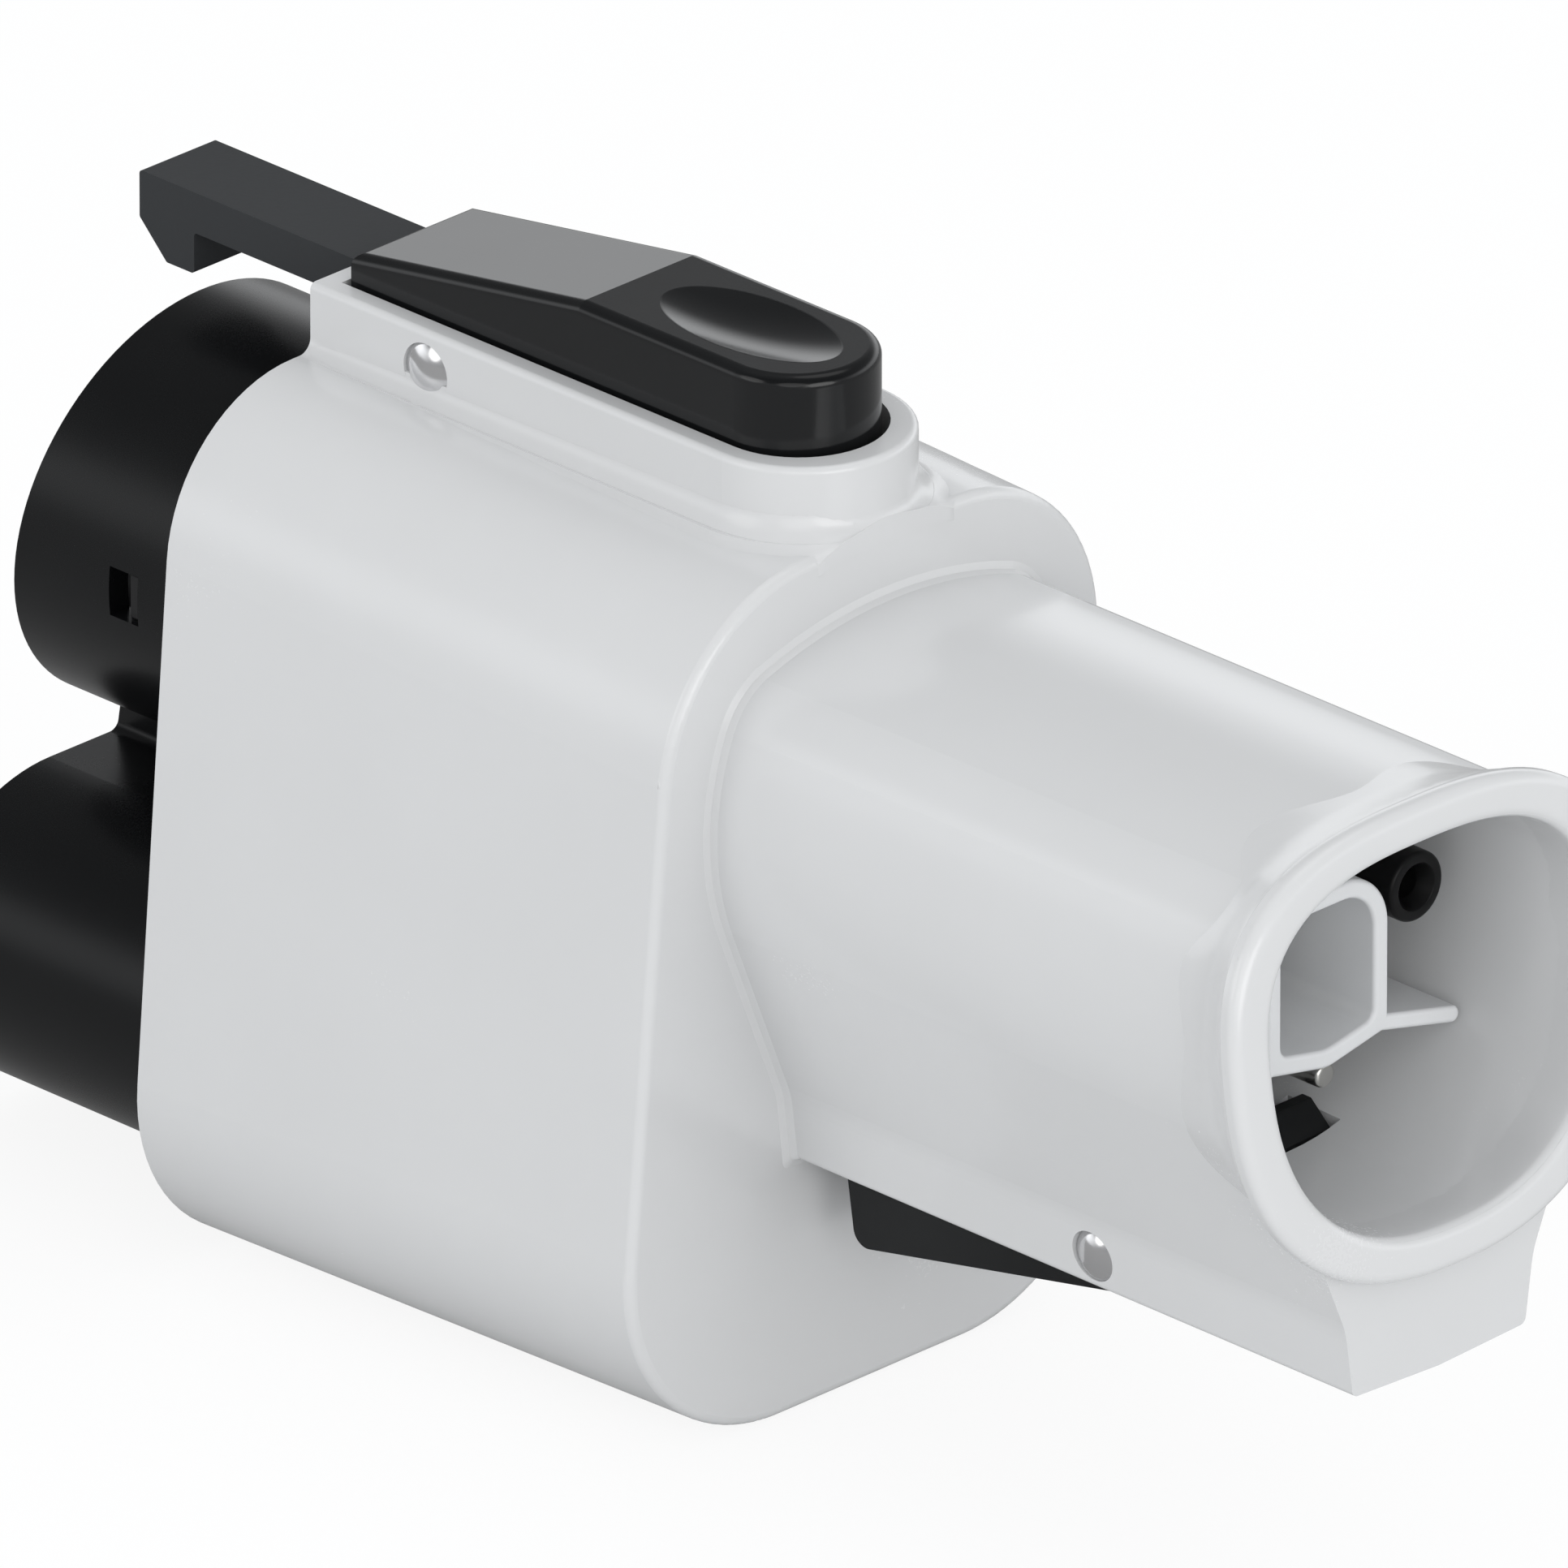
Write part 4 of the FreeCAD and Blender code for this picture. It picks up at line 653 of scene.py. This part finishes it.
def buildThumbDish():
    # shallow bowl z = top - deep*(1-s^2) in the lever's deeper recess, s = share of the ellipse
    c = dishSet
    share = np.linspace(c["firstRing"], 1, c["rings"])
    bowl = c["top"] + c["proud"] - c["deep"] * (1 - share ** 2)
    under = c["top"] - c["under"] * np.sqrt(1 - share[::-1] ** 2) - c["sunk"]
    s = np.concatenate([share, share[::-1][1:]])[:, None]
    z = np.concatenate([bowl, under[1:]])[:, None]
    turn = np.linspace(0, 2 * np.pi, c["columns"], endpoint=False)[None]
    points = np.stack(
        [c["centre"] + c["half"][0] * s * np.cos(turn), c["half"][1] * s * np.sin(turn), z + 0 * turn], -1
    )
    closedGrid(points, "blackLever", "thumb_dish", "latch", False)


buildMouthLip()
buildCollarFillet()
buildThumbDish()
buildCaps()
buildPivotPins()
buildContacts()
buildSprings()
buildScrews()
print("turned pieces made")

# skyStops and frontStops are what a gloss surface mirrors, by height and by side; glossGlow is
# how bright the floor is in a mirror, glow how bright it is to the camera, and floorShow its share
stageSet = dict(
    floorHalf=7.0, floorDrop=0.0002, floorColour=(0.82, 0.825, 0.83, 1), floorShow=0.86,
    skyStops=[(0.0, 1.0), (0.50, 1.1), (0.60, 1.5), (0.64, 1.2), (0.71, 0.23), (0.86, 0.16), (1.0, 0.3)],
    frontStops=[(0.0, 1.0), (0.42, 1.0), (0.70, 0.34), (1.0, 0.28)],
    ambient=0.84, tint=(0.98, 0.995, 1.01, 1), glow=1.03, glossGlow=0.3,
)


def seenShare(g):
    # 1 for camera, glossy and transmission rays
    path = g.tree.nodes.new("ShaderNodeLightPath")
    seen = [Sock(g, path.outputs[k]) for k in ("Is Camera Ray", "Is Glossy Ray", "Is Transmission Ray")]
    return g.math("MINIMUM", seen[0] + seen[1] + seen[2], 1.0), seen[0]


def buildFloor():
    half = stageSet["floorHalf"]
    z = cadLow.z - stageSet["floorDrop"]
    mesh = bpy.data.meshes.new("floor")
    corners = [(-half, -half, z), (half, -half, z), (half, half, z), (-half, half, z)]
    mesh.from_pydata(corners, [], [(0, 1, 2, 3)])
    floor = bpy.data.objects.new("floor", mesh)
    bpy.context.scene.collection.objects.link(floor)
    material = bpy.data.materials.new("paleFloor")
    material.use_nodes = True
    g = Graph(material.node_tree)
    seen, camera = seenShare(g)
    matte = g.node("ShaderNodeBsdfDiffuse", None, {"Color": stageSet["floorColour"]})
    shine = stageSet["glossGlow"] + camera * (stageSet["glow"] - stageSet["glossGlow"])
    glow = g.node("ShaderNodeEmission", None, {"Color": (1, 1, 1, 1), "Strength": shine})
    surface = g.node("ShaderNodeMixShader", None, {0: seen * stageSet["floorShow"], 1: matte, 2: glow})
    g.node("ShaderNodeOutputMaterial", None, {"Surface": surface})
    mesh.materials.append(material)
    return floor


def buildWorld():
    # white to the camera; to gloss a bright horizon under a darker ceiling; even light otherwise
    world = bpy.data.worlds.new("studio")
    bpy.context.scene.world = world
    world.use_nodes = True
    g = Graph(world.node_tree)
    direction = g.node("ShaderNodeTexCoord", out="Generated")
    east, north, up = g.separate(direction)
    # both directions run from -1 to 1 and are brought to 0 to 1; a ramp holds values up to 1,
    # so the sky is halved in it
    sky = g.ramp(up * 0.5 + 0.5, [(p, v / 2) for p, v in stageSet["skyStops"]]) * 2.0
    front = g.ramp((east - north) * 0.354 + 0.5, stageSet["frontStops"])
    sky = sky * front
    seen, camera = seenShare(g)
    strength = seen * sky + (1.0 - seen) * stageSet["ambient"]
    strength = camera + (1.0 - camera) * strength
    colour = g.mix(camera, stageSet["tint"], (1, 1, 1, 1))
    back = g.node("ShaderNodeBackground", None, {"Color": colour, "Strength": strength})
    g.node("ShaderNodeOutputWorld", None, {"Surface": back})


cameraSet = dict(
    azimuth=45.0, elevation=25.0, away=6.0, frameWide=0.15035, aim=(0.0829, 0.0, -0.00465),
    clip=(0.05, 60.0),
)
lamps = [
    # name, place, size, power, colour
    ("keyLamp", (-0.3, -1.35, 0.6), 0.9, 2.3, (1.0, 0.99, 0.98)),
    ("frontLamp", (1.5, -0.3, 0.25), 1.0, 5.8, (1.0, 0.99, 0.98)),
    ("fillLamp", (1.1, -1.15, 0.6), 1.1, 2.6, (1.0, 0.99, 0.98)),
    ("topLamp", (0.2, 0.5, 1.6), 1.0, 1.5, (1.0, 0.99, 0.98)),
]


def buildLamps():
    aim = Vector(cameraSet["aim"])
    for name, place, size, power, colour in lamps:
        data = bpy.data.lights.new(name, "AREA")
        data.shape = "DISK"
        data.size = size
        data.energy = power
        data.color = colour
        lamp = bpy.data.objects.new(name, data)
        bpy.context.scene.collection.objects.link(lamp)
        lamp.location = place
        lamp.rotation_mode = "QUATERNION"
        lamp.rotation_quaternion = (aim - Vector(place)).to_track_quat("-Z", "Y")


def buildCamera():
    a = math.radians(cameraSet["azimuth"])
    e = math.radians(cameraSet["elevation"])
    back = Vector((math.sin(a) * math.cos(e), -math.cos(a) * math.cos(e), math.sin(e)))
    data = bpy.data.cameras.new("camera")
    data.lens = data.sensor_width * cameraSet["away"] / cameraSet["frameWide"]
    data.clip_start, data.clip_end = cameraSet["clip"]
    camera = bpy.data.objects.new("camera", data)
    bpy.context.scene.collection.objects.link(camera)
    camera.location = Vector(cameraSet["aim"]) + back * cameraSet["away"]
    camera.rotation_mode = "QUATERNION"
    camera.rotation_quaternion = (-back).to_track_quat("-Z", "Y")
    bpy.context.scene.camera = camera


buildFloor()
buildWorld()
buildLamps()
buildCamera()
bpy.context.scene.view_settings.view_transform = "Standard"
print("stage, lamps and camera set")
